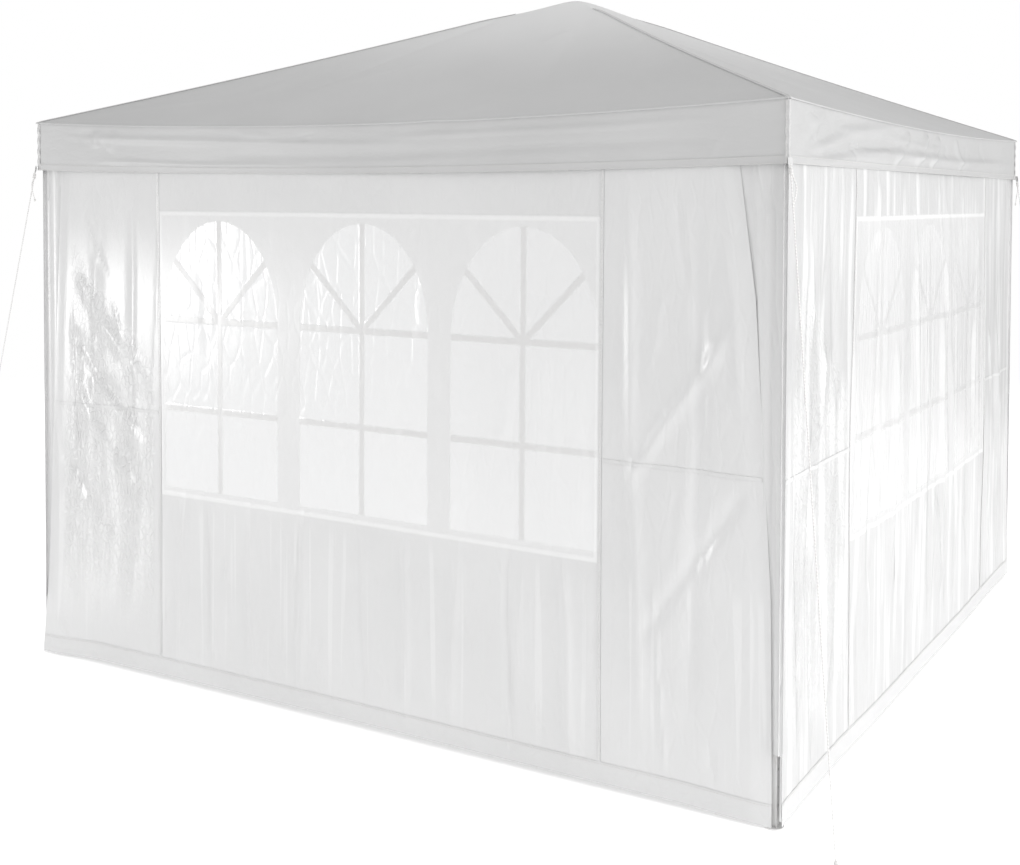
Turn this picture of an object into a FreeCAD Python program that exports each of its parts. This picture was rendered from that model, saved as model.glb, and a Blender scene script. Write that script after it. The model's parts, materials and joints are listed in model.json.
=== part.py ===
"""Pop-up gazebo: a folding scissor frame with a pyramid roof, four side walls and four guy ropes.

Millimetres, +Z up. The origin is on the ground at the middle of the gazebo. The front faces -Y.
The frame has four telescopic legs. Four sides of two scissor pairs each join the legs, and a centre
truss of two pairs carries the mast. Corner and side 0 are front left and front; each next one is
a quarter turn counter-clockwise seen from above.
"""

import FreeCAD, Part
import math
import os

# Roof and walls
EAVE_HALF = 1500.0         # from the middle to each eave
EAVE_Z = 2020.0
ROOF_RISE = 550.0          # from the eave to the tip
VALANCE_DROP = 180.0       # depth of the strip that hangs from the eave
CROWN_HALF = 220.0         # half width of the top piece that the mast carries
FABRIC_T = 0.8
SEAM_GAP = 1.2             # between neighbouring roof panels, at each seam
WALL_INSET = 10.0          # wall's outer face, inside the valance
WALL_SIDE_GAP = 22.0       # wall's upright edge, from the corner of the eaves
WALL_TOP_DROP = 20.0       # wall's upper edge, under the eave
WALL_BOTTOM_Z = 10.0

# Legs
LEG_INSET = 40.0           # leg's middle, inside the eave
LEG_WIDTH = 25.0
LEG_WALL = 1.2
LEG_TOP_DROP = 35.0        # leg's upper end, under the eave
LEG_BOTTOM_Z = 450.0
LOWER_LEG_FIT = 0.5        # play between the lower leg and the leg, each side
LOWER_LEG_WALL = 1.0
LOWER_LEG_OVERLAP = 300.0  # length of lower leg inside the leg when it is drawn out
HEIGHT_HOLE_R = 3.5
HEIGHT_HOLE_FIRST_Z = 64.0
HEIGHT_HOLE_PITCH = 50.0
HEIGHT_HOLE_COUNT = 9

# Feet
FOOT_R = 28.0
FOOT_T = 5.0
FOOT_EDGE_R = 1.5
FOOT_SOCKET_WALL = 2.0
FOOT_SOCKET_HEIGHT = 30.0
PEG_HOLE_R = 4.0
PEG_HOLE_OUT = 14.5        # peg hole from the leg's middle, outward along X and along Y

# Scissor bars
BAR_HEIGHT = 20.0
BAR_DEPTH = 10.0
BAR_WALL = 0.8
BAR_END = 10.0             # bar beyond its end pivot
LAYER_GAP = 1.0            # between the two layers of crossing bars
TOP_PIVOT_DROP = 80.0      # upper pivots, under the eave
TRUSS_HEIGHT = 240.0       # from the lower to the upper pivots, frame open
PIVOT_REACH = 64.0         # end pivots, from the leg's middle
HUB_REACH = 32.0           # centre truss pivots, from the middle of the gazebo

# Pins and forks
PIN_R = 3.0
PIN_FIT = 0.1              # play round a pin
HEAD_R = 5.5
HEAD_T = 2.0
HEAD_GAP = 0.5             # between a pin head and the bar under it
FORK_PLAY = 0.5            # between a bar and each cheek of its fork
CHEEK_T = 3.0
CHEEK_HEIGHT = 18.0
CHEEK_END = 8.0            # cheek beyond the pivot

# Brackets, sliders, hubs and connectors
BRACKET_WALL = 4.0
BRACKET_HEIGHT = 50.0
BRACKET_CAP_T = 5.0
SLIDER_FIT = 0.5
SLIDER_WALL = 4.0
SLIDER_HEIGHT = 46.0
HUB_HALF = 15.0
HUB_HEIGHT = 34.0
CONNECTOR_PLATE_T = 4.0
CONNECTOR_WIDTH = 34.0
CONNECTOR_HEIGHT = 30.0

# Mast
MAST_R = 8.0
MAST_FIT = 0.3
MAST_BELOW_PIVOT = 140.0   # mast's lower end, under the upper pivots
CAP_R = 50.0
CAP_RIM_T = 8.0
CAP_RISE = 16.0            # dome above the rim
CAP_CLEAR = 1.0            # between the dome and the crown's faces over it

# Guy ropes
ROPE_D = 4.0
ROPE_CLEAR = 4.0           # rope's top end, outside the valance corner
ROPE_TOP_DROP = 2.0        # rope's top end, under the valance
ROPE_SPREAD = 230.0        # rope's ground end, outside the eave corner along X and along Y
ROPE_EYE_R = 22.0          # middle radius of the eye at the ground end
ROPE_EYE_Z = 18.0          # eye's lowest point, held off the ground by the hook of its peg

# Worked out from the sizes above
PEAK_Z = EAVE_Z + ROOF_RISE
WALL_TOP_Z = EAVE_Z - WALL_TOP_DROP
LEG_TOP_Z = EAVE_Z - LEG_TOP_DROP
TOP_PIVOT_Z = EAVE_Z - TOP_PIVOT_DROP
MAST_BOTTOM_Z = TOP_PIVOT_Z - MAST_BELOW_PIVOT
ROPE_TOP_Z = EAVE_Z - VALANCE_DROP - ROPE_TOP_DROP
LEG_X = EAVE_HALF - LEG_INSET
PIVOT_X = LEG_X - PIVOT_REACH
CONNECTOR_REACH = PIVOT_REACH - HUB_REACH
LOW_PIVOT_Z = TOP_PIVOT_Z - TRUSS_HEIGHT
LAYER = (BAR_DEPTH + LAYER_GAP) / 2
OUTER, INNER = -LAYER, LAYER
LOWER_LEG_WIDTH = LEG_WIDTH - 2 * LEG_WALL - 2 * LOWER_LEG_FIT
ROOF_SLOPE = ROOF_RISE / EAVE_HALF

CORNERS = ("front_left", "front_right", "back_right", "back_left")
SIDES = ("front", "right", "back", "left")
X, Y, Z = FreeCAD.Vector(1, 0, 0), FreeCAD.Vector(0, 1, 0), FreeCAD.Vector(0, 0, 1)


def vec(x, y, z):
    return FreeCAD.Vector(x, y, z)


def box(x0, x1, y0, y1, z0, z1):
    """A block between two corners."""
    return Part.makeBox(x1 - x0, y1 - y0, z1 - z0, vec(x0, y0, z0))


def rod(centre, axis, radius, low, high):
    """A round bar on a line through centre, from low to high along axis."""
    return Part.makeCylinder(radius, high - low, centre + axis * low, axis)


def quarter_turns(shape, k):
    """A copy turned k quarter turns about the gazebo's middle."""
    turned = shape.copy()
    turned.rotate(vec(0, 0, 0), Z, 90 * k)
    return turned


def square_tube(half_out, half_in, x, y, z0, z1):
    """An upright square tube round the line (x, y)."""
    outside = box(x - half_out, x + half_out, y - half_out, y + half_out, z0, z1)
    return outside.cut(box(x - half_in, x + half_in, y - half_in, y + half_in, z0 - 1, z1 + 1))


def plate(points, thickness, inward):
    """A flat sheet through points, with its thickness laid on the inward side."""
    face = Part.Face(Part.makePolygon(points + points[:1]))
    normal = face.normalAt(0, 0)
    if normal.dot(inward) < 0:
        normal = normal * -1
    return face.extrude(normal * thickness)


# Scissor bars. A truss plane holds X along it and Y across it, and is turned into place later.


def truss_bar(start, end, plane_y, layer, holes, pins):
    """A rectangular tube between two pivots, with running holes and fixed pins.

    start and end are (x, z). holes and pins are places along the bar, from 0 to 1.
    """
    across = plane_y + layer
    a, b = vec(start[0], across, start[1]), vec(end[0], across, end[1])
    length = (b - a).Length
    low, high, half_y, half_z = -BAR_END, length + BAR_END, BAR_DEPTH / 2, BAR_HEIGHT / 2
    tube = box(low, high, -half_y, half_y, -half_z, half_z)
    inside_y, inside_z = half_y - BAR_WALL, half_z - BAR_WALL
    tube = tube.cut(box(low - 1, high + 1, -inside_y, inside_y, -inside_z, inside_z))
    for share in holes:
        tube = tube.cut(rod(vec(share * length, 0, 0), Y, PIN_R + PIN_FIT, -half_y - 1, half_y + 1))
    towards_mate = -1 if layer > 0 else 1
    for share in pins:
        tube = tube.fuse(riveted_pin(vec(share * length, 0, 0), towards_mate, half_y))
    tube.rotate(vec(0, 0, 0), Y, -math.degrees(math.atan2(end[1] - start[1], end[0] - start[0])))
    tube.translate(a)
    return tube


def riveted_pin(at, side, half_y):
    """A pin fixed in one bar that carries the bar of the other layer, with a head at each end."""
    far = half_y + LAYER_GAP + BAR_DEPTH + HEAD_GAP
    shank = rod(at, Y * side, PIN_R, -half_y, far)
    near_head = rod(at, Y * side, HEAD_R, -half_y - HEAD_T, -half_y)
    far_head = rod(at, Y * side, HEAD_R, far, far + HEAD_T)
    return shank.fuse([near_head, far_head])


def fork(x_root, x_pivot, plane_y, layer, z):
    """Two cheeks on the X axis with a pin across them, round a bar of the given layer."""
    middle = plane_y + layer
    gap = BAR_DEPTH / 2 + FORK_PLAY
    tip = x_pivot + math.copysign(CHEEK_END, x_pivot - x_root)
    x0, x1 = min(x_root, tip), max(x_root, tip)
    z0, z1 = z - CHEEK_HEIGHT / 2, z + CHEEK_HEIGHT / 2
    cheeks = [
        box(x0, x1, middle + gap, middle + gap + CHEEK_T, z0, z1),
        box(x0, x1, middle - gap - CHEEK_T, middle - gap, z0, z1),
    ]
    pin = rod(vec(x_pivot, middle, z), Y, PIN_R, -gap - CHEEK_T, gap + CHEEK_T)
    return cheeks[0].fuse([cheeks[1], pin])


def corner_forks(z, upper):
    """The two forks of the front left corner: one into the front truss and one into the left truss.

    A corner is the start of its own side and the end of the side before it.
    """
    starts = OUTER if upper else INNER
    ends = INNER if upper else OUTER
    root = -LEG_X + LEG_WIDTH / 2 + 1
    own = fork(root, -PIVOT_X, -LEG_X, starts, z)
    before = quarter_turns(fork(-root, PIVOT_X, -LEG_X, ends, z), 3)
    return [own, before]


# Corner pieces, made at the front left corner


def leg():
    """Upper tube of a leg."""
    half = LEG_WIDTH / 2
    return square_tube(half, half - LEG_WALL, -LEG_X, -LEG_X, LEG_BOTTOM_Z, LEG_TOP_Z)


def lower_leg():
    """Lower tube of a leg, with a row of height holes through its front and back faces."""
    half = LOWER_LEG_WIDTH / 2
    top = LEG_BOTTOM_Z + LOWER_LEG_OVERLAP
    tube = square_tube(half, half - LOWER_LEG_WALL, -LEG_X, -LEG_X, FOOT_T, top)
    for i in range(HEIGHT_HOLE_COUNT):
        at = vec(-LEG_X, -LEG_X, HEIGHT_HOLE_FIRST_Z + i * HEIGHT_HOLE_PITCH)
        tube = tube.cut(rod(at, Y, HEIGHT_HOLE_R, -half - 1, half + 1))
    return tube


def foot():
    """Round foot plate with a square plug up the lower leg and a hole for a ground peg."""
    disc = Part.makeCylinder(FOOT_R, FOOT_T, vec(-LEG_X, -LEG_X, 0), Z)
    rim = [e for e in disc.Edges if abs(e.BoundBox.ZMin - FOOT_T) < 1e-6 and e.Closed]
    disc = disc.makeFillet(FOOT_EDGE_R, rim[:1])
    plug_half = LOWER_LEG_WIDTH / 2 - LOWER_LEG_WALL
    top = FOOT_T + FOOT_SOCKET_HEIGHT
    plug = square_tube(plug_half, plug_half - FOOT_SOCKET_WALL, -LEG_X, -LEG_X, FOOT_T, top)
    shape = disc.fuse(plug)
    peg = vec(-LEG_X - PEG_HOLE_OUT, -LEG_X - PEG_HOLE_OUT, 0)
    return shape.cut(rod(peg, Z, PEG_HOLE_R, -1, FOOT_T + 1))


def corner_bracket():
    """Sleeve fixed round the top of a leg, with a cap and the forks of the upper pivots."""
    half = LEG_WIDTH / 2
    z0 = TOP_PIVOT_Z - BRACKET_HEIGHT / 2
    sleeve = square_tube(half + BRACKET_WALL, half, -LEG_X, -LEG_X, z0, LEG_TOP_Z)
    out = half + BRACKET_WALL
    low, high = -LEG_X - out, -LEG_X + out
    cap = box(low, high, low, high, LEG_TOP_Z, LEG_TOP_Z + BRACKET_CAP_T)
    return sleeve.fuse([cap] + corner_forks(TOP_PIVOT_Z, True)).removeSplitter()


def slider():
    """Sleeve that runs on the leg, with the forks of the lower pivots."""
    half = LEG_WIDTH / 2 + SLIDER_FIT
    z0 = LOW_PIVOT_Z - SLIDER_HEIGHT / 2
    sleeve = square_tube(half + SLIDER_WALL, half, -LEG_X, -LEG_X, z0, z0 + SLIDER_HEIGHT)
    return sleeve.fuse(corner_forks(LOW_PIVOT_Z, False)).removeSplitter()


# Trusses


def side_bars(pins_in_bars):
    """The four bars of the front truss. Bars 1 and 3 are in the outer layer.

    pins_in_bars is True where the bars themselves hold the pins at the middle of the side, and
    False where a connector does.
    """
    top, low = TOP_PIVOT_Z, LOW_PIVOT_Z
    start, end = -PIVOT_X, PIVOT_X
    spans = (
        ((start, top), (0, low)),
        ((start, low), (0, top)),
        ((0, top), (end, low)),
        ((0, low), (end, top)),
    )
    layers = (OUTER, INNER, OUTER, INNER)
    middle_end = (1, 1, 0, 0)
    bars = []
    for (near, far), layer, middle in zip(spans, layers, middle_end):
        outer = layer == OUTER
        pins = [0.5] if outer else []
        holes = [1 - middle] if outer else [1 - middle, 0.5]
        (pins if outer and pins_in_bars else holes).append(middle)
        bars.append(truss_bar(near, far, -LEG_X, layer, holes, pins))
    return bars


def centre_bars():
    """The two bars of the centre truss on the right: from the top hub down, and from the bottom hub up."""
    near, far = HUB_REACH, LEG_X - CONNECTOR_REACH
    falling = truss_bar((near, TOP_PIVOT_Z), (far, LOW_PIVOT_Z), 0, OUTER, [0, 1], [0.5])
    rising = truss_bar((near, LOW_PIVOT_Z), (far, TOP_PIVOT_Z), 0, INNER, [0, 0.5, 1], [])
    return falling, rising


def hub(z, right_layer, bore_r):
    """Block at the gazebo's middle with a fork each way along X and an upright bore."""
    block = box(-HUB_HALF, HUB_HALF, -HUB_HALF, HUB_HALF, z - HUB_HEIGHT / 2, z + HUB_HEIGHT / 2)
    right = fork(HUB_HALF - 1, HUB_REACH, 0, right_layer, z)
    shape = block.fuse([right, quarter_turns(right, 2)]).removeSplitter()
    return shape.cut(rod(vec(0, 0, z), Z, bore_r, -HUB_HEIGHT, HUB_HEIGHT))


def connector(z, layer):
    """Plate at the middle of the right side: a pin outward for the side bars and a fork inward."""
    x1 = LEG_X - LAYER - BAR_DEPTH / 2 - HEAD_GAP
    x0 = x1 - CONNECTOR_PLATE_T
    half_y, half_z = CONNECTOR_WIDTH / 2, CONNECTOR_HEIGHT / 2
    shape = box(x0, x1, -half_y, half_y, z - half_z, z + half_z)
    past = 2 * LAYER + BAR_DEPTH + 2 * HEAD_GAP
    at = vec(x1, 0, z)
    pin = rod(at, X, PIN_R, -1, past)
    head = rod(at, X, HEAD_R, past, past + HEAD_T)
    return shape.fuse([pin, head, fork(x0 + 1, LEG_X - CONNECTOR_REACH, 0, layer, z)]).removeSplitter()


def mast():
    """Round post that slides in the top hub, with a domed cap that carries the roof's tip."""
    ball_r = (CAP_R**2 + CAP_RISE**2) / (2 * CAP_RISE)
    ball_z = PEAK_Z - (ball_r + CAP_CLEAR + FABRIC_T) * math.hypot(1, ROOF_SLOPE)
    rim_top = ball_z + ball_r - CAP_RISE
    ball = Part.makeSphere(ball_r, vec(0, 0, ball_z))
    dome = ball.common(Part.makeCylinder(CAP_R, CAP_RISE, vec(0, 0, rim_top), Z))
    rim = Part.makeCylinder(CAP_R, CAP_RIM_T, vec(0, 0, rim_top - CAP_RIM_T), Z)
    post = Part.makeCylinder(MAST_R, rim_top - MAST_BOTTOM_Z, vec(0, 0, MAST_BOTTOM_Z), Z)
    return post.fuse([rim, dome]).removeSplitter()


# Fabric


def roof_z(t):
    """Height of the roof's outer face at the distance t from the middle."""
    return PEAK_Z - ROOF_SLOPE * t


def crown():
    """Top piece of the roof: a low pyramid of one thickness."""
    t = CROWN_HALF - SEAM_GAP
    tip = vec(0, 0, PEAK_Z)
    base = [vec(-t, -t, roof_z(t)), vec(t, -t, roof_z(t)), vec(t, t, roof_z(t)), vec(-t, t, roof_z(t))]
    drop = vec(0, 0, -FABRIC_T * math.hypot(1, ROOF_SLOPE))
    return pyramid(base, tip).cut(pyramid([p + drop for p in base], tip + drop))


def pyramid(base, tip):
    faces = [Part.Face(Part.makePolygon(base + base[:1]))]
    for a, b in zip(base, base[1:] + base[:1]):
        faces.append(Part.Face(Part.makePolygon([a, b, tip, a])))
    return Part.makeSolid(Part.makeShell(faces))


def roof_panel():
    """Front gore of the roof, with the valance that hangs from its eave."""
    near, far = CROWN_HALF + SEAM_GAP, EAVE_HALF
    gore = plate(
        [
            vec(-near + SEAM_GAP, -near, roof_z(near)),
            vec(near - SEAM_GAP, -near, roof_z(near)),
            vec(far - SEAM_GAP, -far, roof_z(far)),
            vec(-far + SEAM_GAP, -far, roof_z(far)),
        ],
        FABRIC_T,
        vec(0, 0, -1),
    )
    side = far - SEAM_GAP
    valance = box(-side, side, -far, -far + FABRIC_T, EAVE_Z - VALANCE_DROP, EAVE_Z)
    return gore.fuse(valance).removeSplitter()


def wall():
    """Front side wall: an upright sheet just inside the valance."""
    side, out = EAVE_HALF - WALL_SIDE_GAP, EAVE_HALF - WALL_INSET
    return box(-side, side, -out, -out + FABRIC_T, WALL_BOTTOM_Z, WALL_TOP_Z)


def guy_rope():
    """Taut rope from the front left valance corner to the ground, ending in an eye."""
    top = vec(-EAVE_HALF - ROPE_CLEAR, -EAVE_HALF - ROPE_CLEAR, ROPE_TOP_Z)
    ground = vec(-EAVE_HALF - ROPE_SPREAD, -EAVE_HALF - ROPE_SPREAD, ROPE_EYE_Z + ROPE_D / 2)
    line = ground - top
    along = vec(line.x, line.y, line.z).normalize()
    eye_middle = ground - along * ROPE_EYE_R
    rope_end = eye_middle - along * ROPE_EYE_R
    straight = Part.makeCylinder(ROPE_D / 2, (rope_end - top).Length, top, along)
    sideways = vec(1, -1, 0).normalize()
    eye = Part.makeTorus(ROPE_EYE_R, ROPE_D / 2, eye_middle, sideways.cross(along))
    return straight.fuse(eye)


def all_nodes():
    """Every sub-part by name."""
    nodes = {}
    at_corner = {
        "leg": leg(),
        "lower_leg": lower_leg(),
        "foot": foot(),
        "corner_bracket": corner_bracket(),
        "slider": slider(),
        "guy_rope": guy_rope(),
    }
    for name, shape in at_corner.items():
        for k, corner in enumerate(CORNERS):
            nodes[f"{name}_{corner}"] = quarter_turns(shape, k)
    at_side = {"roof_panel": roof_panel(), "wall": wall()}
    for name, shape in at_side.items():
        for k, side in enumerate(SIDES):
            nodes[f"{name}_{side}"] = quarter_turns(shape, k)
    for k, side in enumerate(SIDES):
        for number, shape in enumerate(side_bars(pins_in_bars=k % 2 == 0), start=1):
            nodes[f"{side}_bar_{number}"] = quarter_turns(shape, k)
    for k, side in ((0, "right"), (2, "left")):
        for name, shape in zip(("falling", "rising"), centre_bars()):
            nodes[f"centre_{name}_bar_{side}"] = quarter_turns(shape, k)
        nodes[f"upper_connector_{side}"] = quarter_turns(connector(TOP_PIVOT_Z, INNER), k)
        nodes[f"lower_connector_{side}"] = quarter_turns(connector(LOW_PIVOT_Z, OUTER), k)
    nodes["top_hub"] = hub(TOP_PIVOT_Z, OUTER, MAST_R + MAST_FIT)
    nodes["bottom_hub"] = hub(LOW_PIVOT_Z, INNER, MAST_R + MAST_FIT)
    nodes["mast"] = mast()
    nodes["crown"] = crown()
    return nodes


def main():
    os.makedirs("parts", exist_ok=True)
    for name, shape in all_nodes().items():
        shape.exportStep(f"parts/{name}.step")
        print(f"{name}: {len(shape.Solids)} solid, {shape.Volume / 1000:.1f} cm3, valid {shape.isValid()}")


main()
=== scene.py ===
"""Pop-up gazebo: the looks round its fixed frame.

A square folding shelter with a pyramid roof in four gores, a valance at each eave, four side walls
with arched windows and a taut guy rope at each corner. Corner and side 0 are front left and front,
and each next one is a quarter turn counter-clockwise seen from above. Lengths are in metres.
"""

import json
import logging
import math
from dataclasses import dataclass, field
from enum import Enum
from typing import Callable, Iterable, Sequence

import bpy
import numpy as np
from mathutils import Matrix, Vector


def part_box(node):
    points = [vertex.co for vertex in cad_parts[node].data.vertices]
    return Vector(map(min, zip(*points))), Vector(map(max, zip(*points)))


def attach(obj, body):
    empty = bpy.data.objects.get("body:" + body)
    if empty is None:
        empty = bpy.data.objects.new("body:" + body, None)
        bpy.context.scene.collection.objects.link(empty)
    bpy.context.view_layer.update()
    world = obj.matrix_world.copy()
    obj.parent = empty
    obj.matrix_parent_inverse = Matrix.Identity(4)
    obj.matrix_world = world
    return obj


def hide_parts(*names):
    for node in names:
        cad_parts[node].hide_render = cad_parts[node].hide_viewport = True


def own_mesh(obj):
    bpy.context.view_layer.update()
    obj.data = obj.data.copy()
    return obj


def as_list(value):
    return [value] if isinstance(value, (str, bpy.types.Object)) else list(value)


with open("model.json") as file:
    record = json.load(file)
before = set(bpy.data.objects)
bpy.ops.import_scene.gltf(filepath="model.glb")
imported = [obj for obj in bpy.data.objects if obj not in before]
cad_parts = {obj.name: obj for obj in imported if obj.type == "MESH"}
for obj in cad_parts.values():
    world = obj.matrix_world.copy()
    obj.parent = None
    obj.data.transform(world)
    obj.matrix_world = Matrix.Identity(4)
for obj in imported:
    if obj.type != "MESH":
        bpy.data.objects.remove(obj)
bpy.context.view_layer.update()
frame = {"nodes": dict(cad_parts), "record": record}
LOG = logging.getLogger("gazebo")

CORNERS = ("front_left", "front_right", "back_right", "back_left")
CLOTH_THICKNESS = 0.0008
# Colour of the painted highlights on the film.
HIGHLIGHT_WHITE = 0.90
Array = np.ndarray
Surface = Callable[[Array, Array], Array]
Span = tuple[float, float]


class Side(Enum):
    """A side of the gazebo, by the quarter turns from the front."""

    FRONT = 0
    RIGHT = 1
    BACK = 2
    LEFT = 3

    @property
    def label(self) -> str:
        """The side's name as the frame spells it."""
        return self.name.lower()

    @property
    def start_corner(self) -> str:
        """The corner at the side's left end, seen from outside."""
        return CORNERS[self.value]

    @property
    def end_corner(self) -> str:
        """The corner at the side's right end, seen from outside."""
        return CORNERS[(self.value + 1) % 4]

    @property
    def along(self) -> tuple[float, float, float]:
        """Unit vector along the side, from its start corner to its end corner."""
        return tuple(float(c) for c in turned(np.array([1.0, 0.0, 0.0]), self.value))

    def point(self, along: float, out: float, height: float) -> tuple[float, float, float]:
        """A point given by its distance along the side from the middle, outward, and up."""
        return tuple(float(c) for c in turned(np.array([along, -out, height]), self.value))


def turned(points: Array, quarters: int) -> Array:
    """Points turned about the upright axis through the gazebo's middle.

    Args:
        points: Array whose last axis is x, y, z.
        quarters: Number of quarter turns, counter-clockwise seen from above.

    Returns:
        A new array of the same shape.
    """
    x, y, z = points[..., 0], points[..., 1], points[..., 2]
    for _ in range(quarters % 4):
        x, y = -y, x
    return np.stack([x, y, z], axis=-1)


def diagonal(quarters: int) -> Array:
    """Unit vector away from the middle towards a corner, counted in quarter turns from the front left."""
    return turned(np.array([-1.0, -1.0, 0.0]), quarters) / math.sqrt(2)


def smooth(low: float, high: float, value: Array) -> Array:
    """Smooth step from 0 at low to 1 at high."""
    t = np.clip((value - low) / (high - low), 0, 1)
    return t * t * (3 - 2 * t)


# ---------------------------------------------------------------- shader maths


class Num:
    """A number socket of a shader tree, which ordinary arithmetic adds Math nodes to."""

    def __init__(self, tree: "Shader", socket: bpy.types.NodeSocket) -> None:
        """Wraps socket, which belongs to tree."""
        self.tree, self.socket = tree, socket

    def _op(self, operation: str, *values: "Num | float") -> "Num":
        """One Math node on the values."""
        return Num(self.tree, self.tree.add("ShaderNodeMath", {"operation": operation}, values).outputs[0])

    def __add__(self, other: "Num | float") -> "Num":
        """self + other."""
        return self._op("ADD", self, other)

    __radd__ = __add__

    def __sub__(self, other: "Num | float") -> "Num":
        """self - other."""
        return self._op("SUBTRACT", self, other)

    def __rsub__(self, other: "Num | float") -> "Num":
        """other - self."""
        return self._op("SUBTRACT", other, self)

    def __mul__(self, other: "Num | float") -> "Num":
        """self * other."""
        return self._op("MULTIPLY", self, other)

    __rmul__ = __mul__

    def __truediv__(self, other: "Num | float") -> "Num":
        """self / other."""
        return self._op("DIVIDE", self, other)

    def __abs__(self) -> "Num":
        """Size of the number, without its sign."""
        return self._op("ABSOLUTE", self)

    def at_least(self, other: "Num | float") -> "Num":
        """The larger of the two."""
        return self._op("MAXIMUM", self, other)

    def at_most(self, other: "Num | float") -> "Num":
        """The smaller of the two."""
        return self._op("MINIMUM", self, other)

    def sin(self) -> "Num":
        """Sine, of an angle in radians."""
        return self._op("SINE", self)

    def root(self) -> "Num":
        """Square root."""
        return self._op("SQRT", self)

    def repeat(self, pitch: float) -> "Num":
        """Distance from the nearest whole multiple of pitch."""
        return self._op("PINGPONG", self, pitch / 2)

    def step(self, low: float, high: float) -> "Num":
        """Smooth step: 0 at low, 1 at high. The two may fall as well as rise."""
        settings = {"interpolation_type": "SMOOTHSTEP"}
        node = self.tree.add("ShaderNodeMapRange", settings, {0: self, 1: low, 2: high})
        return Num(self.tree, node.outputs[0])

    def within(self, low: float, high: float, soft: float) -> "Num":
        """1 from low to high, with edges as wide as soft on either side of each limit."""
        return self.step(low - soft, low + soft) * self.step(high + soft, high - soft)


class Shader:
    """A new material and the nodes in it."""

    def __init__(self, name: str) -> None:
        """Starts an empty material called name."""
        self.material = bpy.data.materials.new(name)
        self.material.use_nodes = True
        self.nodes = self.material.node_tree.nodes
        self.links = self.material.node_tree.links
        self.nodes.clear()

    def add(self, kind: str, settings: dict | None = None,
            inputs: dict | Sequence = ()) -> bpy.types.Node:
        """Adds one node.

        Args:
            kind: The node's type.
            settings: Its properties, set first.
            inputs: Its sockets' values or links, by name or number, or in order.

        Returns:
            The new node.
        """
        node = self.nodes.new(kind)
        for key, value in (settings or {}).items():
            setattr(node, key, value)
        pairs = inputs.items() if isinstance(inputs, dict) else enumerate(inputs)
        for key, value in pairs:
            socket = node.inputs[key]
            if isinstance(value, Num):
                value = value.socket
            if isinstance(value, bpy.types.NodeSocket):
                self.links.new(value, socket)
            else:
                socket.default_value = value
        return node

    def place(self, source: "Place", scale: Sequence[float] = (1, 1, 1)) -> bpy.types.NodeSocket:
        """The surface's own coordinates, in metres, stretched by scale."""
        if source is Place.CLOTH:
            coords = self.add("ShaderNodeUVMap", {"uv_map": "cloth"}).outputs[0]
        else:
            coords = self.add("ShaderNodeTexCoord").outputs["Object"]
        return self.add("ShaderNodeMapping", None, {"Vector": coords, "Scale": scale}).outputs[0]

    def parts(self, vector: bpy.types.NodeSocket) -> tuple[Num, Num, Num]:
        """The three numbers of a vector."""
        out = self.add("ShaderNodeSeparateXYZ", None, [vector]).outputs
        return Num(self, out[0]), Num(self, out[1]), Num(self, out[2])

    def noise(self, vector: bpy.types.NodeSocket, scale: float, detail: float = 3,
              rough: float = 0.5) -> Num:
        """Cloudy noise from 0 to 1."""
        inputs = {"Vector": vector, "Scale": scale, "Detail": detail, "Roughness": rough}
        return Num(self, self.add("ShaderNodeTexNoise", None, inputs).outputs["Fac"])

    def streaks(self, across: float, up: float, low: float, high: float, detail: float = 3,
                rough: float = 0.5) -> Num:
        """Patches of noise on the cloth.

        Args:
            across: How close together they are along the cloth, per metre.
            up: How close together they are up it.
            low: The noise at which they start.
            high: The noise at which they are full.
            detail: Finer layers in the noise.
            rough: How strong the finer layers are.

        Returns:
            1 in the patches, 0 between them.
        """
        return self.noise(self.place(Place.CLOTH, (across, up, 1)), 1.0, detail, rough).step(low, high)

    def cells(self, vector: bpy.types.NodeSocket, scale: float) -> Num:
        """Distance to the edges of irregular cells, as in crushed film."""
        settings = {"feature": "DISTANCE_TO_EDGE"}
        node = self.add("ShaderNodeTexVoronoi", settings, {"Vector": vector, "Scale": scale})
        return Num(self, node.outputs["Distance"])

    def mix(self, share: Num | float, a: object, b: object) -> bpy.types.NodeSocket:
        """Colour between a and b."""
        settings = {"data_type": "RGBA", "clamp_factor": True}
        return self.add("ShaderNodeMix", settings, {0: share, 6: a, 7: b}).outputs[2]

    def bump(self, height: Num, distance: float, strength: float = 1.0) -> bpy.types.NodeSocket:
        """Normal of a surface whose relief is height times distance."""
        inputs = {"Height": height, "Distance": distance, "Strength": strength}
        return self.add("ShaderNodeBump", None, inputs).outputs[0]

    def solid(self, inputs: dict) -> bpy.types.NodeSocket:
        """A solid surface with the given inputs."""
        return self.add("ShaderNodeBsdfPrincipled", None, inputs).outputs[0]

    def clear(self) -> bpy.types.NodeSocket:
        """A surface that light passes through unchanged."""
        return self.add("ShaderNodeBsdfTransparent").outputs[0]

    def blend(self, share: Num | float, a: bpy.types.NodeSocket,
              b: bpy.types.NodeSocket) -> bpy.types.NodeSocket:
        """The surface a where share is 0, and b where it is 1."""
        return self.add("ShaderNodeMixShader", None, [share, a, b]).outputs[0]

    def finish(self, surface: bpy.types.NodeSocket) -> bpy.types.Material:
        """Ends the tree with the given shader."""
        self.add("ShaderNodeOutputMaterial", None, [surface])
        return self.material


class Place(Enum):
    """Which coordinates a pattern follows."""

    OBJECT = "object"
    CLOTH = "cloth"


def grey(value: float, warmth: float = 0.0) -> tuple[float, float, float, float]:
    """A near-neutral colour; warmth moves it towards yellow, or towards blue below 0."""
    return (value * (1 + warmth), value, value * (1 - warmth), 1.0)


# -------------------------------------------------------------------- finishes


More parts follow.
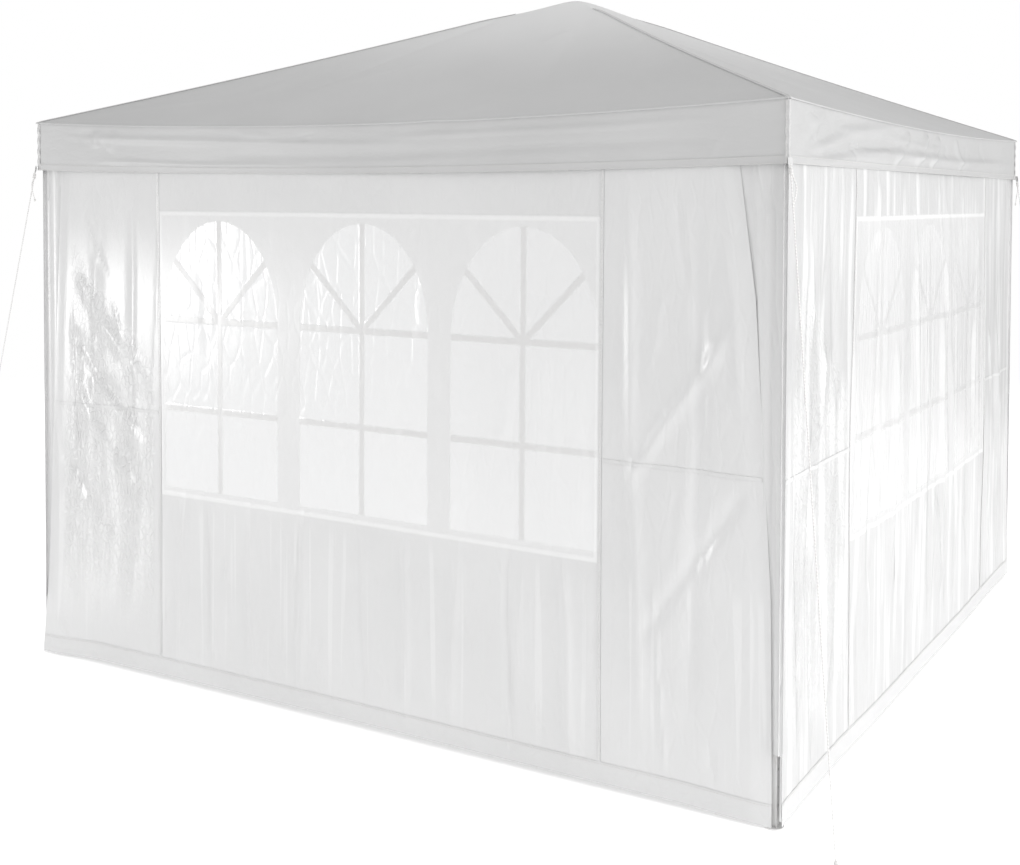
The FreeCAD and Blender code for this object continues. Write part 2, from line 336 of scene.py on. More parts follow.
@dataclass(frozen=True)
class PaintedSteel:
    """Sprayed tube: satin skin with a slight orange peel and scattered dusty scuffs."""

    name: str
    colour: float = 0.80
    roughness: float = 0.36

    def build(self) -> bpy.types.Material:
        """Returns the finish's material."""
        sh = Shader(self.name)
        at = sh.place(Place.OBJECT)
        peel = sh.noise(at, 900, 2)
        cloud = sh.noise(at, 6, 4)
        scuff = sh.noise(sh.place(Place.OBJECT, (1, 1, 0.15)), 160, 3).step(0.66, 0.78)
        colour = sh.mix(cloud.step(0.3, 0.7), grey(self.colour), grey(self.colour * 0.94, 0.01))
        colour = sh.mix(scuff * 0.35, colour, grey(self.colour * 0.6, 0.02))
        inputs = {
            "Base Color": colour,
            "Roughness": self.roughness + scuff * 0.25 + cloud * 0.06,
            "Coat Weight": 0.25,
            "Coat Roughness": 0.2,
            "Normal": sh.bump(peel, 0.00006),
        }
        return sh.finish(sh.solid(inputs))


@dataclass(frozen=True)
class MouldedPlastic:
    """Moulded bracket: fine spark texture, slightly yellowed at random."""

    name: str
    colour: float = 0.72
    warmth: float = 0.01

    def build(self) -> bpy.types.Material:
        """Returns the finish's material."""
        sh = Shader(self.name)
        at = sh.place(Place.OBJECT)
        spark = sh.noise(at, 2200, 2)
        cloud = sh.noise(at, 14, 3)
        yellowed = grey(self.colour * 0.93, self.warmth + 0.015)
        colour = sh.mix(cloud, grey(self.colour, self.warmth), yellowed)
        inputs = {
            "Base Color": colour,
            "Roughness": 0.42 + cloud * 0.12,
            "Normal": sh.bump(spark, 0.00008),
        }
        return sh.finish(sh.solid(inputs))


@dataclass(frozen=True)
class WovenSheet:
    """Coated woven tape: a faint grid of threads, crinkles and a satin skin that lets light through."""

    name: str
    colour: float = 0.78
    warmth: float = 0.0
    roughness: float = 0.46
    crinkle: float = 0.0016
    crinkle_scale: float = 9.0
    stretch: tuple[float, float, float] = (1, 1, 1)
    through: float = 0.22
    thread: float = 0.0022
    gloss: float = 0.35
    # Share of painted light that makes the cloth paler towards the top of its cloth coordinates.
    paler_up: float = 0.0
    # Share of painted highlight and painted shade streaks on the cloth.
    streaks: float = 0.0
    crush: float = 0.22

    def base(self, sh: Shader) -> tuple[bpy.types.NodeSocket, Num, Num]:
        """The cloth's colour, roughness and relief, which windows are then laid on.

        Args:
            sh: The material being built.

        Returns:
            Colour socket, roughness and relief in metres.
        """
        at = sh.place(Place.CLOTH)
        u, v, _ = sh.parts(at)
        threads = (u.repeat(self.thread) + v.repeat(self.thread)) / self.thread
        stretched = sh.place(Place.CLOTH, self.stretch)
        folds = sh.noise(stretched, self.crinkle_scale, 4, 0.55)
        crush = sh.cells(stretched, self.crinkle_scale * 2.3).step(0.0, 0.16)
        cloud = sh.noise(at, 2.2, 4)
        relief = folds * self.crinkle + crush * (self.crinkle * self.crush) + threads * 0.00003
        fresh, dull, dark = (grey(self.colour * share, self.warmth) for share in (1.0, 0.95, 0.80))
        colour = sh.mix(cloud.step(0.25, 0.75), fresh, dull)
        colour = sh.mix(threads * 0.12, colour, dark)
        # Painted light: the cloth grows paler towards the top of its cloth coordinates, the roof towards its
        # peak.
        if self.paler_up:
            colour = sh.mix(v.step(-1.1, -0.05) * self.paler_up, colour, grey(0.95))
        # Painted highlight and painted shade: pale streaks stand for glints along creases, dim streaks for
        # the shade between them.
        if self.streaks:
            shade_streaks = sh.streaks(9, 0.7, 0.50, 0.72)
            pale = sh.streaks(16, 1.1, 0.50, 0.66, detail=4)
            colour = sh.mix(shade_streaks * (self.streaks * 0.7), colour, dark)
            colour = sh.mix(pale * self.streaks, colour, grey(HIGHLIGHT_WHITE))
        return colour, self.roughness + folds * 0.12 - 0.06, relief

    def shade(self, sh: Shader, colour: bpy.types.NodeSocket, rough: Num, relief: Num,
              coat: Num | float) -> bpy.types.NodeSocket:
        """Satin skin over a sheet that lets a share of the light through.

        Args:
            sh: The material being built.
            colour: The cloth's colour.
            rough: Its roughness.
            relief: Its relief in metres.
            coat: Weight of the glossy skin on it.

        Returns:
            The surface.
        """
        normal = sh.bump(relief, 1.0)
        face = sh.solid({"Base Color": colour, "Roughness": rough, "Coat Weight": coat,
                         "Coat Roughness": 0.26, "Normal": normal})
        pale = grey(min(self.colour * 1.05, 0.95), self.warmth)
        glow = sh.add("ShaderNodeBsdfTranslucent", None, {"Color": pale, "Normal": normal}).outputs[0]
        return sh.blend(self.through, face, glow)

    def build(self) -> bpy.types.Material:
        """Returns the finish's material."""
        sh = Shader(self.name)
        colour, rough, relief = self.base(sh)
        return sh.finish(self.shade(sh, colour, rough, relief, self.gloss))


@dataclass(frozen=True)
class WindowWall(WovenSheet):
    """Wall sheet with a lighter patch that holds a row of arched windows with printed glazing bars."""

    patch_left: float = -0.873
    patch_right: float = 0.918
    patch_top: float = 1.690
    patch_bottom: float = 0.668
    centres: tuple[float, ...] = (-0.585, 0.040, 0.655)
    half_width: float = 0.263
    spring: float = 1.305
    crown: float = 1.655
    sill: float = 0.700
    low_bar: float = 0.988
    bar: float = 0.021
    edge: float = 0.004
    weld: float = 0.014
    see_through: float = 0.16
    clear: float = 1.0

    def _crushed(self, sh: Shader, u: Num, z: Num) -> tuple[Num, Num]:
        """Painted highlight streaks on the crushed film beside the patch and on thin upright lines under it,
        and the crushed film's relief.
        """
        crushed = u.step(-0.89, -0.92) * u.step(-1.42, -1.36)
        crushed = crushed * (z + u * 0.9).step(0.36, 0.28) * z.step(0.10, 0.45)
        # Painted highlights: streaks along the crushed film's creases, and thin upright lines below the
        # patch.
        fan = sh.streaks(13, 2.2, 0.46, 0.62, rough=0.55)
        grain = sh.cells(sh.place(Place.CLOTH, (1, 0.6, 1)), 55).step(0.0, 0.22)
        painted_highlight = crushed * fan * (0.55 + grain * 0.45)
        pleat_highlight = sh.streaks(26, 0.6, 0.585, 0.64, detail=2)
        low = z.step(self.patch_bottom, self.patch_bottom - 0.08) * z.step(0.02, 0.25)
        return painted_highlight.at_least(pleat_highlight * low * 0.45), crushed * grain * 0.0016

    def _in_arch(self, u: Num, z: Num) -> Num:
        """1 inside the outline of any window."""
        soft = self.edge / self.half_width
        rise = (z - self.spring).at_least(0) / (self.crown - self.spring)
        inside: Num | float = 0.0
        for centre in self.centres:
            dx = (u - centre) / self.half_width
            inside = (dx * dx + rise * rise).root().step(1 + soft, 1 - soft).at_least(inside)
        return inside * z.step(self.sill - self.edge, self.sill + self.edge)

    def _bars(self, u: Num, z: Num) -> Num:
        """1 on the glazing bars: an upright, two spokes and two level bars in each window."""
        wide, slim = self.bar / 2 + self.edge, self.bar / 2 - self.edge
        bars = abs(z - self.spring).at_most(abs(z - self.low_bar)).step(wide, slim)
        above = z.step(self.spring - self.edge, self.spring + self.edge)
        for centre in self.centres:
            dx = abs(u - centre)
            spoke = (abs(dx - (z - self.spring)) * math.sqrt(0.5)).step(wide, slim) * above
            spoke = spoke * dx.step(self.half_width + 0.02, self.half_width)
            bars = bars.at_least(dx.step(wide, slim)).at_least(spoke)
        return bars

    def _patch(self, u: Num, z: Num, inset: float) -> Num:
        """1 inside the patch, further in than inset from its outline."""
        across = u.within(self.patch_left + inset, self.patch_right - inset, self.edge)
        return across * z.within(self.patch_bottom + inset, self.patch_top - inset, self.edge)

    def build(self) -> bpy.types.Material:
        """Returns the finish's material."""
        sh = Shader(self.name)
        colour, rough, relief = self.base(sh)
        u, z, _ = sh.parts(sh.place(Place.CLOTH))
        patch = self._patch(u, z, 0.0)
        rim = patch - self._patch(u, z, self.weld)
        arch = self._in_arch(u, z)
        panes = arch * (1 - self._bars(u, z))
        printed = arch - panes
        panes = panes * (self.clear * (1 - u.step(0.25, 0.60) * 0.35))
        painted_highlight, crush = self._crushed(sh, u, z)
        # Painted highlights on the crushed film and on the thin upright lines below the patch.
        colour = sh.mix(painted_highlight, colour, grey(HIGHLIGHT_WHITE))
        colour = sh.mix(patch, colour, grey(self.colour * 1.03, self.warmth))
        colour = sh.mix(printed * self.clear, colour, grey(self.colour * 0.96, 0.004))
        colour = sh.mix(panes, colour, grey(0.88, -0.002))
        glare = sh.streaks(12, 1.4, 0.56, 0.70)
        colour = sh.mix(patch * glare * 0.35, colour, grey(HIGHLIGHT_WHITE))
        colour = sh.mix(rim * 0.6, colour, grey(0.95))
        relief = relief + patch * 0.0004 + printed * 0.0004 + rim * 0.0006 - panes * 0.0002 + crush
        taut = z.step(1.30, 1.72)
        cloth = self.shade(sh, colour, rough - panes * 0.2 + taut * 0.22, relief, (1 - taut) * self.gloss)
        film = sh.solid({"Base Color": colour, "Roughness": 0.2, "Normal": sh.bump(relief, 1.0)})
        return sh.finish(sh.blend(panes, cloth, sh.blend(self.see_through, film, sh.clear())))


@dataclass(frozen=True)
class TwistedRope:
    """Laid cord: three strands wound round each other, with loose fibres."""

    name: str
    colour: float = 0.78
    lay: float = 0.011

    def build(self) -> bpy.types.Material:
        """Returns the finish's material."""
        sh = Shader(self.name)
        at = sh.place(Place.OBJECT)
        x, y, z = sh.parts(at)
        strands = ((z * 1.35 + x * 0.4 - y * 0.4) * (2 * math.pi / self.lay)).sin() * 0.5 + 0.5
        fibre = sh.noise(at, 1600, 3)
        colour = sh.mix(strands, grey(self.colour * 0.85, 0.01), grey(self.colour, 0.01))
        inputs = {
            "Base Color": colour,
            "Roughness": 0.6 + fibre * 0.2,
            "Normal": sh.bump(strands * 0.0006 + fibre * 0.0001, 1.0),
        }
        return sh.finish(sh.solid(inputs))


@dataclass(frozen=True)
class StudioFloor:
    """Plain pale floor that fades into the surroundings."""

    name: str = "studio_floor"
    glow: float = 0.45
    clear_from: float = 5.0
    clear_to: float = 9.0

    def build(self) -> bpy.types.Material:
        """Returns the finish's material."""
        sh = Shader(self.name)
        at = sh.place(Place.OBJECT)
        x, y, _ = sh.parts(at)
        laid = sh.solid({"Base Color": sh.mix(sh.noise(at, 0.4, 2), grey(0.93), grey(0.95)),
                         "Roughness": 0.9, "Emission Color": grey(1.0), "Emission Strength": self.glow})
        share = (x * x + y * y).root().step(self.clear_from, self.clear_to)
        return sh.finish(sh.blend(share, laid, sh.clear()))


@dataclass(frozen=True)
class Finishes:
    """Every material of the gazebo, built once."""

    steel: bpy.types.Material
    bracket: bpy.types.Material
    foot: bpy.types.Material
    roof: bpy.types.Material
    valance: bpy.types.Material
    valance_loose: bpy.types.Material
    seam: bpy.types.Material
    wall: bpy.types.Material
    side_wall: bpy.types.Material
    flap: bpy.types.Material
    hem: bpy.types.Material
    thread: bpy.types.Material
    rope: bpy.types.Material
    floor: bpy.types.Material

    @classmethod
    def build(cls) -> "Finishes":
        """Builds all of them."""
        return cls(
            steel=PaintedSteel("white_tube").build(),
            bracket=MouldedPlastic("moulded_bracket").build(),
            foot=PaintedSteel("foot_plate", 0.74, 0.4).build(),
            # The roof is painted paler towards its peak, as painted light.
            roof=WovenSheet("roof_sheet", colour=0.76, crinkle=0.0014, crinkle_scale=4, crush=0.0,
                            gloss=0.1, through=0.32, paler_up=1.0).build(),
            valance=WovenSheet("valance_sheet", colour=0.68, crinkle=0.0034, crinkle_scale=6,
                               stretch=(0.6, 1.6, 1), crush=0.03, gloss=0.12, roughness=0.5).build(),
            valance_loose=WovenSheet("valance_sheet_loose", colour=0.66, crinkle=0.0056, crinkle_scale=6,
                                     stretch=(0.8, 1.2, 1), crush=0.08, gloss=0.7,
                                     roughness=0.36).build(),
            seam=WovenSheet("seam_tape", colour=0.62, crinkle=0.0012, crinkle_scale=30, through=0.05,
                            gloss=0.1).build(),
            wall=WindowWall("window_wall", colour=0.81, crinkle=0.0018, stretch=(1, 0.4, 1),
                            roughness=0.34, gloss=0.6).build(),
            # The creased side walls carry painted highlight and painted shade streaks.
            side_wall=WindowWall("window_wall_creased", colour=0.71, crinkle=0.0034,
                                 stretch=(1.6, 0.25, 1), roughness=0.3, gloss=0.8, clear=0.30,
                                 streaks=0.8, centres=(-0.575, 0.02, 0.615)).build(),
            # The corner flaps carry fainter painted highlight and painted shade streaks.
            flap=WovenSheet("corner_flap", colour=0.75, crinkle=0.0030, crinkle_scale=6,
                            stretch=(2.2, 0.5, 1), through=0.14, gloss=0.6, streaks=0.35).build(),
            hem=WovenSheet("wall_hem", colour=0.80, crinkle=0.0020, crinkle_scale=10, gloss=0.6).build(),
            thread=MouldedPlastic("sewing_thread", colour=0.70).build(),
            rope=TwistedRope("guy_rope_strands").build(),
            floor=StudioFloor().build(),
        )


# ------------------------------------------------------------------ mesh tools


def linked(name: str, data: bpy.types.ID) -> bpy.types.Object:
    """A new object in the scene that shows data."""
    piece = bpy.data.objects.new(name, data)
    bpy.context.scene.collection.objects.link(piece)
    return piece


def mesh_piece(name: str, points: Array, faces: Iterable[Sequence[int]],
               material: bpy.types.Material, uv: Array | None = None,
               normals: Array | None = None) -> bpy.types.Object:
    """Makes a mesh object at the origin.

    Args:
        name: The piece's name.
        points: Its vertices, n by 3.
        faces: Vertex numbers of each face, counter-clockwise seen from outside.
        material: Its material.
        uv: Flat place of each vertex in metres, n by 2, if the piece is cloth.
        normals: Smooth normal of each vertex, if neighbours must shade as one.

    Returns:
        The new object.
    """
    mesh = bpy.data.meshes.new(name)
    mesh.from_pydata([tuple(p) for p in points.tolist()], [], [tuple(f) for f in faces])
    mesh.update()
    mesh.polygons.foreach_set("use_smooth", [True] * len(mesh.polygons))
    if uv is not None:
        layer = mesh.uv_layers.new(name="cloth")
        corner = np.zeros(len(mesh.loops), np.int32)
        mesh.loops.foreach_get("vertex_index", corner)
        layer.data.foreach_set("uv", uv[corner].astype(np.float32).ravel())
    mesh.set_sharp_from_angle(angle=math.radians(50))
    if normals is not None:
        mesh.normals_split_custom_set_from_vertices([tuple(n) for n in normals.tolist()])
    mesh.materials.append(material)
    return linked(name, mesh)


def normal_of(surface: Surface, a: Array, b: Array, step: float) -> Array:
    """Unit normals of a surface.

    Args:
        surface: Gives a point for each pair of parameters.
        a: First parameters.
        b: Second parameters.
        step: How far apart the points are that the slopes are taken from.

    Returns:
        A normal for each pair, on the side of a x b.
    """
    across = surface(a + step, b) - surface(a - step, b)
    up = surface(a, b + step) - surface(a, b - step)
    normal = np.cross(across, up)
    return normal / np.maximum(np.linalg.norm(normal, axis=-1, keepdims=True), 1e-12)


def sheet_piece(name: str, surface: Surface, a: Array, b: Array, material: bpy.types.Material,
                thickness: float = CLOTH_THICKNESS, flat: Surface | None = None) -> bpy.types.Object:
    """Makes a closed sheet of one thickness whose outer face is a surface of two parameters.

    Args:
        name: The piece's name.
        surface: Gives a point for each pair of parameters. Its normal a x b points outward.
        a: First parameter at each grid point, rows by columns.
        b: Second parameter, same shape.
        material: Its material.
        thickness: The sheet's thickness, laid inward.
        flat: Gives the flat place in metres of each pair; the parameters themselves if left out.

    Returns:
        The new object.
    """
    outer, normal = surface(a, b), normal_of(surface, a, b, 5e-4)
    inner = outer - normal * thickness
    rows, cols = a.shape
    n = rows * cols
    index = np.arange(n).reshape(rows, cols)
    cells = [index[:-1, :-1], index[:-1, 1:], index[1:, 1:], index[1:, :-1]]
    quads = np.stack(cells, axis=-1).reshape(-1, 4)
    ring = np.concatenate([index[0, :], index[1:, -1], index[-1, -2::-1], index[-2:0:-1, 0]])
    after = np.roll(ring, -1)
    rim = np.stack([after, ring, ring + n, after + n], axis=-1)
    faces = np.concatenate([quads, quads[:, ::-1] + n, rim]).tolist()
    points = np.concatenate([outer.reshape(-1, 3), inner.reshape(-1, 3)])
    place = np.stack([a, b], axis=-1) if flat is None else flat(a, b)
    uv = np.concatenate([place.reshape(-1, 2)] * 2)
    normals = np.concatenate([normal.reshape(-1, 3), -normal.reshape(-1, 3)])
    return mesh_piece(name, points, faces, material, uv, normals)


def tube_piece(name: str, path: Array, radius: float, material: bpy.types.Material,
               closed: bool = False, sides: int = 10) -> bpy.types.Object:
    """Makes a round bar along a path.

    Args:
        name: The piece's name.
        path: Points along its middle, n by 3.
        radius: Its radius.
        material: Its material.
        closed: Whether the path comes back to its start.
        sides: Faces round it.

    Returns:
        The new object.
    """
    n = len(path)
    ahead = np.roll(path, -1, 0) - np.roll(path, 1, 0) if closed else np.gradient(path, axis=0)
    ahead /= np.linalg.norm(ahead, axis=1, keepdims=True)
    side = np.cross(ahead[0], [0.31, 0.17, 0.93])
    turn = np.arange(sides) * 2 * np.pi / sides
    rings = []
    for i in range(n):
        side = side - ahead[i] * np.dot(side, ahead[i])
        side /= np.linalg.norm(side)
        other = np.cross(ahead[i], side)
        rings.append(path[i] + radius * (np.outer(np.cos(turn), side) + np.outer(np.sin(turn), other)))
    points = np.concatenate(rings)
    faces = []
    for i in range(n if closed else n - 1):
        for k in range(sides):
            j, m = (i + 1) % n, (k + 1) % sides
            faces.append([i * sides + k, i * sides + m, j * sides + m, j * sides + k])
    if not closed:
        faces.append(list(range(sides))[::-1])
        faces.append([(n - 1) * sides + k for k in range(sides)])
    return mesh_piece(name, points, faces, material)


@dataclass(frozen=True)
class Crease:
    """A soft fold in a sheet: a line that stands proud, fading at its ends."""

    start: tuple[float, float]
    end: tuple[float, float]
    height: float
    width: float

    def lift(self, a: Array, b: Array) -> Array:
        """How far the fold lifts each point of the sheet."""
        (a0, b0), (a1, b1) = self.start, self.end
        length = math.hypot(a1 - a0, b1 - b0)
        da, db = (a1 - a0) / length, (b1 - b0) / length
        s = ((a - a0) * da + (b - b0) * db) / length
        d = (a - a0) * db - (b - b0) * da
        d = d + 0.18 * self.width * np.sin(s * 9 + a0 * 13)
        fade = smooth(-0.05, 0.22, s) * smooth(1.05, 0.78, s)
        return self.height * np.exp(-((d / self.width) ** 2)) * fade


def lift_of(creases: Sequence[Crease], a: Array, b: Array) -> Array:
    """All the folds of a sheet together."""
    total = np.zeros_like(a)
    for crease in creases:
        total = total + crease.lift(a, b)
    return total


def creases(*rows: tuple[float, float, float, float, float, float]) -> list[Crease]:
    """Folds given by rows of start a and b, end a and b, height and width."""
    return [Crease((a0, b0), (a1, b1), height, width) for a0, b0, a1, b1, height, width in rows]


def random_creases(seed: int, count: int, a_range: Span, b_range: Span, lean: float, heights: Span,
                   widths: Span) -> list[Crease]:
    """Folds at random places that run along b and lean by up to lean.

    Args:
        seed: Fixed seed.
        count: How many.
        a_range: Where they start, along a.
        b_range: Lowest and highest end, along b.
        lean: Largest move along a from end to end.
        heights: Smallest and largest height.
        widths: Smallest and largest width.

    Returns:
        The folds.
    """
    rng = np.random.default_rng(seed)
    folds = []
    for _ in range(count):
        a0 = rng.uniform(*a_range)
        low, high = sorted(rng.uniform(*b_range, size=2))
        high = max(high, low + 0.15 * (b_range[1] - b_range[0]))
        folds.append(Crease((a0, low), (a0 + rng.uniform(-lean, lean), high),
                            rng.uniform(*heights), rng.uniform(*widths)))
    return folds


@dataclass(frozen=True)
class Gather:
    """How a cloth would be drawn together when the frame folds; the script carries it but does not apply it.
    """

    axis: tuple[float, float, float]
    anchor: tuple[float, float, float]
    keep: float


def carry(pieces: Sequence[bpy.types.Object], body: str, gather: Gather | None = None) -> None:
    """Makes pieces move with one body of the frame.

    Args:
        pieces: The pieces.
        body: The frame's piece that carries them.
        gather: If given, each piece gets its own copy of its mesh; the fold does not draw them together.
    """
    for piece in pieces:
        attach(piece, body)
        if gather is not None:
            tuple(gather.axis)
            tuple(gather.anchor)
            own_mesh(piece)


def place_on(surface: Surface, lift: float) -> Surface:
    """The same surface, moved outward along its normal by lift."""

    def lifted(a: Array, b: Array) -> Array:
        """A point of the moved surface."""
        return surface(a, b) + normal_of(surface, a, b, 1e-3) * lift

    return lifted


def grid(a: Sequence[float], b: Sequence[float]) -> tuple[Array, Array]:
    """Rows of b by columns of a."""
    return np.meshgrid(np.asarray(a, float), np.asarray(b, float))


class Stitching:
    """Lays sewing stitches along lines with Geometry Nodes. Each fills a share of its pitch."""

    filled = 0.66

    def __init__(self, material: bpy.types.Material) -> None:
        """Builds the tree whose stitches are of the given material."""
        self.material = material
        self.tree = bpy.data.node_groups.new("sewing_stitches", "GeometryNodeTree")
        self._sockets()
        self._nodes()

    def _sockets(self) -> None:
        """Names the tree's inputs."""
        face = self.tree.interface
        face.new_socket("Seam Line", in_out="INPUT", socket_type="NodeSocketGeometry")
        for name, value in (("Pitch", 0.009), ("Length", 0.006), ("Radius", 0.0006), ("Jitter", 0.12)):
            face.new_socket(name, in_out="INPUT", socket_type="NodeSocketFloat").default_value = value
        face.new_socket("Seed", in_out="INPUT", socket_type="NodeSocketInt").default_value = 11
        face.new_socket("Thread", in_out="INPUT", socket_type="NodeSocketMaterial")
        face.new_socket("Stitches", in_out="OUTPUT", socket_type="NodeSocketGeometry")

    def _nodes(self) -> None:
        """Adds and links the tree's nodes."""
        new, link = self.tree.nodes.new, self.tree.links.new
        given = new("NodeGroupInput").outputs
        curve = new("GeometryNodeMeshToCurve")
        link(given["Seam Line"], curve.inputs[0])
        spots = new("GeometryNodeCurveToPoints")
        spots.mode = "LENGTH"
        link(curve.outputs[0], spots.inputs["Curve"])
        link(given["Pitch"], spots.inputs["Length"])
        stitch = new("GeometryNodeMeshCylinder")
        stitch.inputs["Vertices"].default_value = 5
        link(given["Radius"], stitch.inputs["Radius"])
        link(given["Length"], stitch.inputs["Depth"])
        low, high = new("ShaderNodeMath"), new("ShaderNodeMath")
        low.operation, high.operation = "SUBTRACT", "ADD"
        vary = new("FunctionNodeRandomValue")
        vary.data_type = "FLOAT"
        for node, socket in ((low, 2), (high, 3)):
            node.inputs[0].default_value = 1.0
            link(given["Jitter"], node.inputs[1])
            link(node.outputs[0], vary.inputs[socket])
        link(given["Seed"], vary.inputs["Seed"])
        put = new("GeometryNodeInstanceOnPoints")
        link(spots.outputs["Points"], put.inputs["Points"])
        link(stitch.outputs["Mesh"], put.inputs["Instance"])
        link(spots.outputs["Rotation"], put.inputs["Rotation"])
        link(vary.outputs[1], put.inputs["Scale"])
        real = new("GeometryNodeRealizeInstances")
        link(put.outputs[0], real.inputs[0])
        dress = new("GeometryNodeSetMaterial")
        link(real.outputs[0], dress.inputs["Geometry"])
        link(given["Thread"], dress.inputs["Material"])
        link(dress.outputs[0], new("NodeGroupOutput").inputs[0])

    def sew(self, name: str, lines: Sequence[Array], seed: int,
            pitch: float = 0.009) -> bpy.types.Object:
        """Sews along lines.

        Args:
            name: The stitches' piece name.
            lines: Each an array of points, n by 3.
            seed: Fixed seed of their unevenness.
            pitch: From one stitch to the next.

        Returns:
            One mesh object with all the stitches.
        """
        points, edges = [], []
        for line in lines:
            first = len(points)
            points += [tuple(p) for p in line.tolist()]
            edges += [(first + i, first + i + 1) for i in range(len(line) - 1)]
        mesh = bpy.data.meshes.new(name)
        mesh.from_pydata(points, edges, [])
        piece = linked(name, mesh)
        modifier = piece.modifiers.new("stitches", "NODES")
        modifier.node_group = self.tree
        values = {"Pitch": pitch, "Length": pitch * self.filled, "Seed": seed, "Thread": self.material}
        for item in self.tree.interface.items_tree:
            if item.in_out == "INPUT" and item.name in values:
                modifier[item.identifier] = values[item.name]
        return baked(piece)


def baked(piece: bpy.types.Object) -> bpy.types.Object:
    """Turns a piece's evaluated shape into its plain mesh, and removes its modifiers."""
    graph = bpy.context.evaluated_depsgraph_get()
    mesh = bpy.data.meshes.new_from_object(piece.evaluated_get(graph))
    piece.modifiers.clear()
    old, piece.data = piece.data, mesh
    mesh.name = piece.name
    bpy.data.meshes.remove(old)
    return piece


# ------------------------------------------------------------------------ roof


@dataclass
class Roof:
    """The roof's crown and four gores, with taped hips."""

    finishes: Finishes
    stitching: Stitching
    half: float
    peak: float
    slope: float
    crown_half: float
    cap_round: float = 0.045
    eave_sag: tuple[float, float, float, float] = (0.040, 0.024, 0.036, 0.032)
    hip_sag: float = 0.012
    lip: float = 0.005
    hem: float = 0.001
    tape: float = 0.011
    folded: float = 0.02
    cells: int = 74
    folds: dict[Side, list[Crease]] = field(default_factory=dict)

    def __post_init__(self) -> None:
        """Lays out the long soft folds of each gore."""
        for side in Side:
            self.folds[side] = random_creases(40 + side.value, 9, (-1.1, 1.1), (0.45, 1.6), 0.25,
                                              (0.0015, 0.004), (0.02, 0.05))
            for end in (-1, 1):
                self.folds[side] += creases(
                    (end * 0.16, 0.10, end * 0.55, 1.25, -0.004, 0.035),
                    (end * 1.38, 1.42, end * 0.75, 1.16, 0.003, 0.030),
                    (end * 1.30, 1.36, end * 0.95, 1.02, 0.002, 0.024))

    @property
    def lip_start(self) -> float:
        """Where the sheet starts to roll over the eave."""
        return self.half - self.lip

    @property
    def run(self) -> float:
        """The sheet's length from the tip to its hem, on the plan and down the lip."""
        return self.lip_start + self.lip * math.pi / 2 + self.hem

    def reach(self, q: Array) -> Array:
        """Distance out from the middle at q along the sheet."""
        bend = np.clip((q - self.lip_start) / self.lip, 0, math.pi / 2)
        return np.minimum(q, self.lip_start) + self.lip * np.sin(bend)

    def height(self, side: Side, t: Array, r: Array) -> Array:
        """Height of the sheet at t along a side and r out, before it rolls over the eave."""
        whole, c = self.half, self.cap_round
        share = smooth(0.02, 0.30, r)
        out = np.hypot(t, r) * 0.87 * (1 - share) + r * share
        z = self.peak - self.slope * (np.sqrt(out**2 + c**2) - c) * whole / (math.hypot(whole, c) - c)
        between = 1 - np.clip(t / np.maximum(r, 1e-4), -1, 1) ** 2
        z = z - self.eave_sag[side.value] * between * (r / whole) ** 1.5
        z = z - self.hip_sag * np.sin(np.pi * np.clip(r / whole, 0, 1))
        held = 1 - (1 - between) ** 4
        return z + lift_of(self.folds[side], t, r) * held * smooth(0.1, 0.35, r)

    def surface(self, side: Side) -> Surface:
        """The outer face of a gore, by t along its side and up, which is minus the way down it."""

        def at(t: Array, up: Array) -> Array:
            """A point of the gore."""
            q = -up
            flat_q = np.minimum(q, self.lip_start)
            bend = np.clip((q - self.lip_start) / self.lip, 0, math.pi / 2)
            down = np.maximum(q - self.lip_start - self.lip * math.pi / 2, 0)
            share = flat_q / np.maximum(self.reach(q), 1e-6)
            z = self.height(side, t * share, flat_q) - self.lip * (1 - np.cos(bend)) - down
            return turned(np.stack([t, -self.reach(q), z], axis=-1), side.value)

        return at

    def rows(self) -> Array:
        """Places down a gore: even on the slope, close together round the lip."""
        slope = np.linspace(self.crown_half, self.lip_start, self.cells)
        lip = self.lip_start + self.lip * np.linspace(0.26, math.pi / 2, 6)
        return np.concatenate([slope, lip, [self.run]])

    def crown(self) -> bpy.types.Object:
        """The top piece, one closed shell from the tip to its seam."""
        radii = np.linspace(0.006, self.crown_half, 34)
        share = np.linspace(-1, 1, 25)[:-1]
        rings = [np.concatenate([self.surface(side)(share * r, np.full_like(share, -r)) for side in Side])
                 for r in radii]
        tip = self.surface(Side.FRONT)(np.zeros(1), np.zeros(1))
        outer = np.concatenate([tip] + rings)
        inner = outer - np.array([0, 0, CLOTH_THICKNESS * 1.06])
        n, m = len(outer), len(rings[0])
        faces = []
        for k in range(m):
            j = (k + 1) % m
            faces.append([0, 1 + k, 1 + j])
            for i in range(len(radii) - 1):
                a, b = 1 + i * m, 1 + (i + 1) * m
                faces.append([a + k, b + k, b + j, a + j])
        faces += [[v + n for v in f[::-1]] for f in faces]
        last = 1 + (len(radii) - 1) * m
        faces += [[last + k, last + k + n, last + (k + 1) % m + n, last + (k + 1) % m] for k in range(m)]
        points = np.concatenate([outer, inner])
        piece = mesh_piece("roof_crown", points, faces, self.finishes.roof, points[:, :2])
        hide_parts("crown")
        carry([piece], "mast")
        across = 2 * self.crown_half
        across * math.hypot(1, self.slope)
        return piece

    def middle(self, side: Side) -> bpy.types.Object:
        """The middle of a gore, as wide as the crown."""
        t, up = grid(np.linspace(-self.crown_half, self.crown_half, 25), -self.rows()[::-1])
        piece = sheet_piece(f"roof_gore_{side.label}", self.surface(side), t, up, self.finishes.roof)
        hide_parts(f"roof_panel_{side.label}")
        carry([piece], f"roof_panel_{side.label}")
        length = (self.half - self.crown_half) * math.hypot(1, self.slope)
        2 * self.crown_half
        return piece

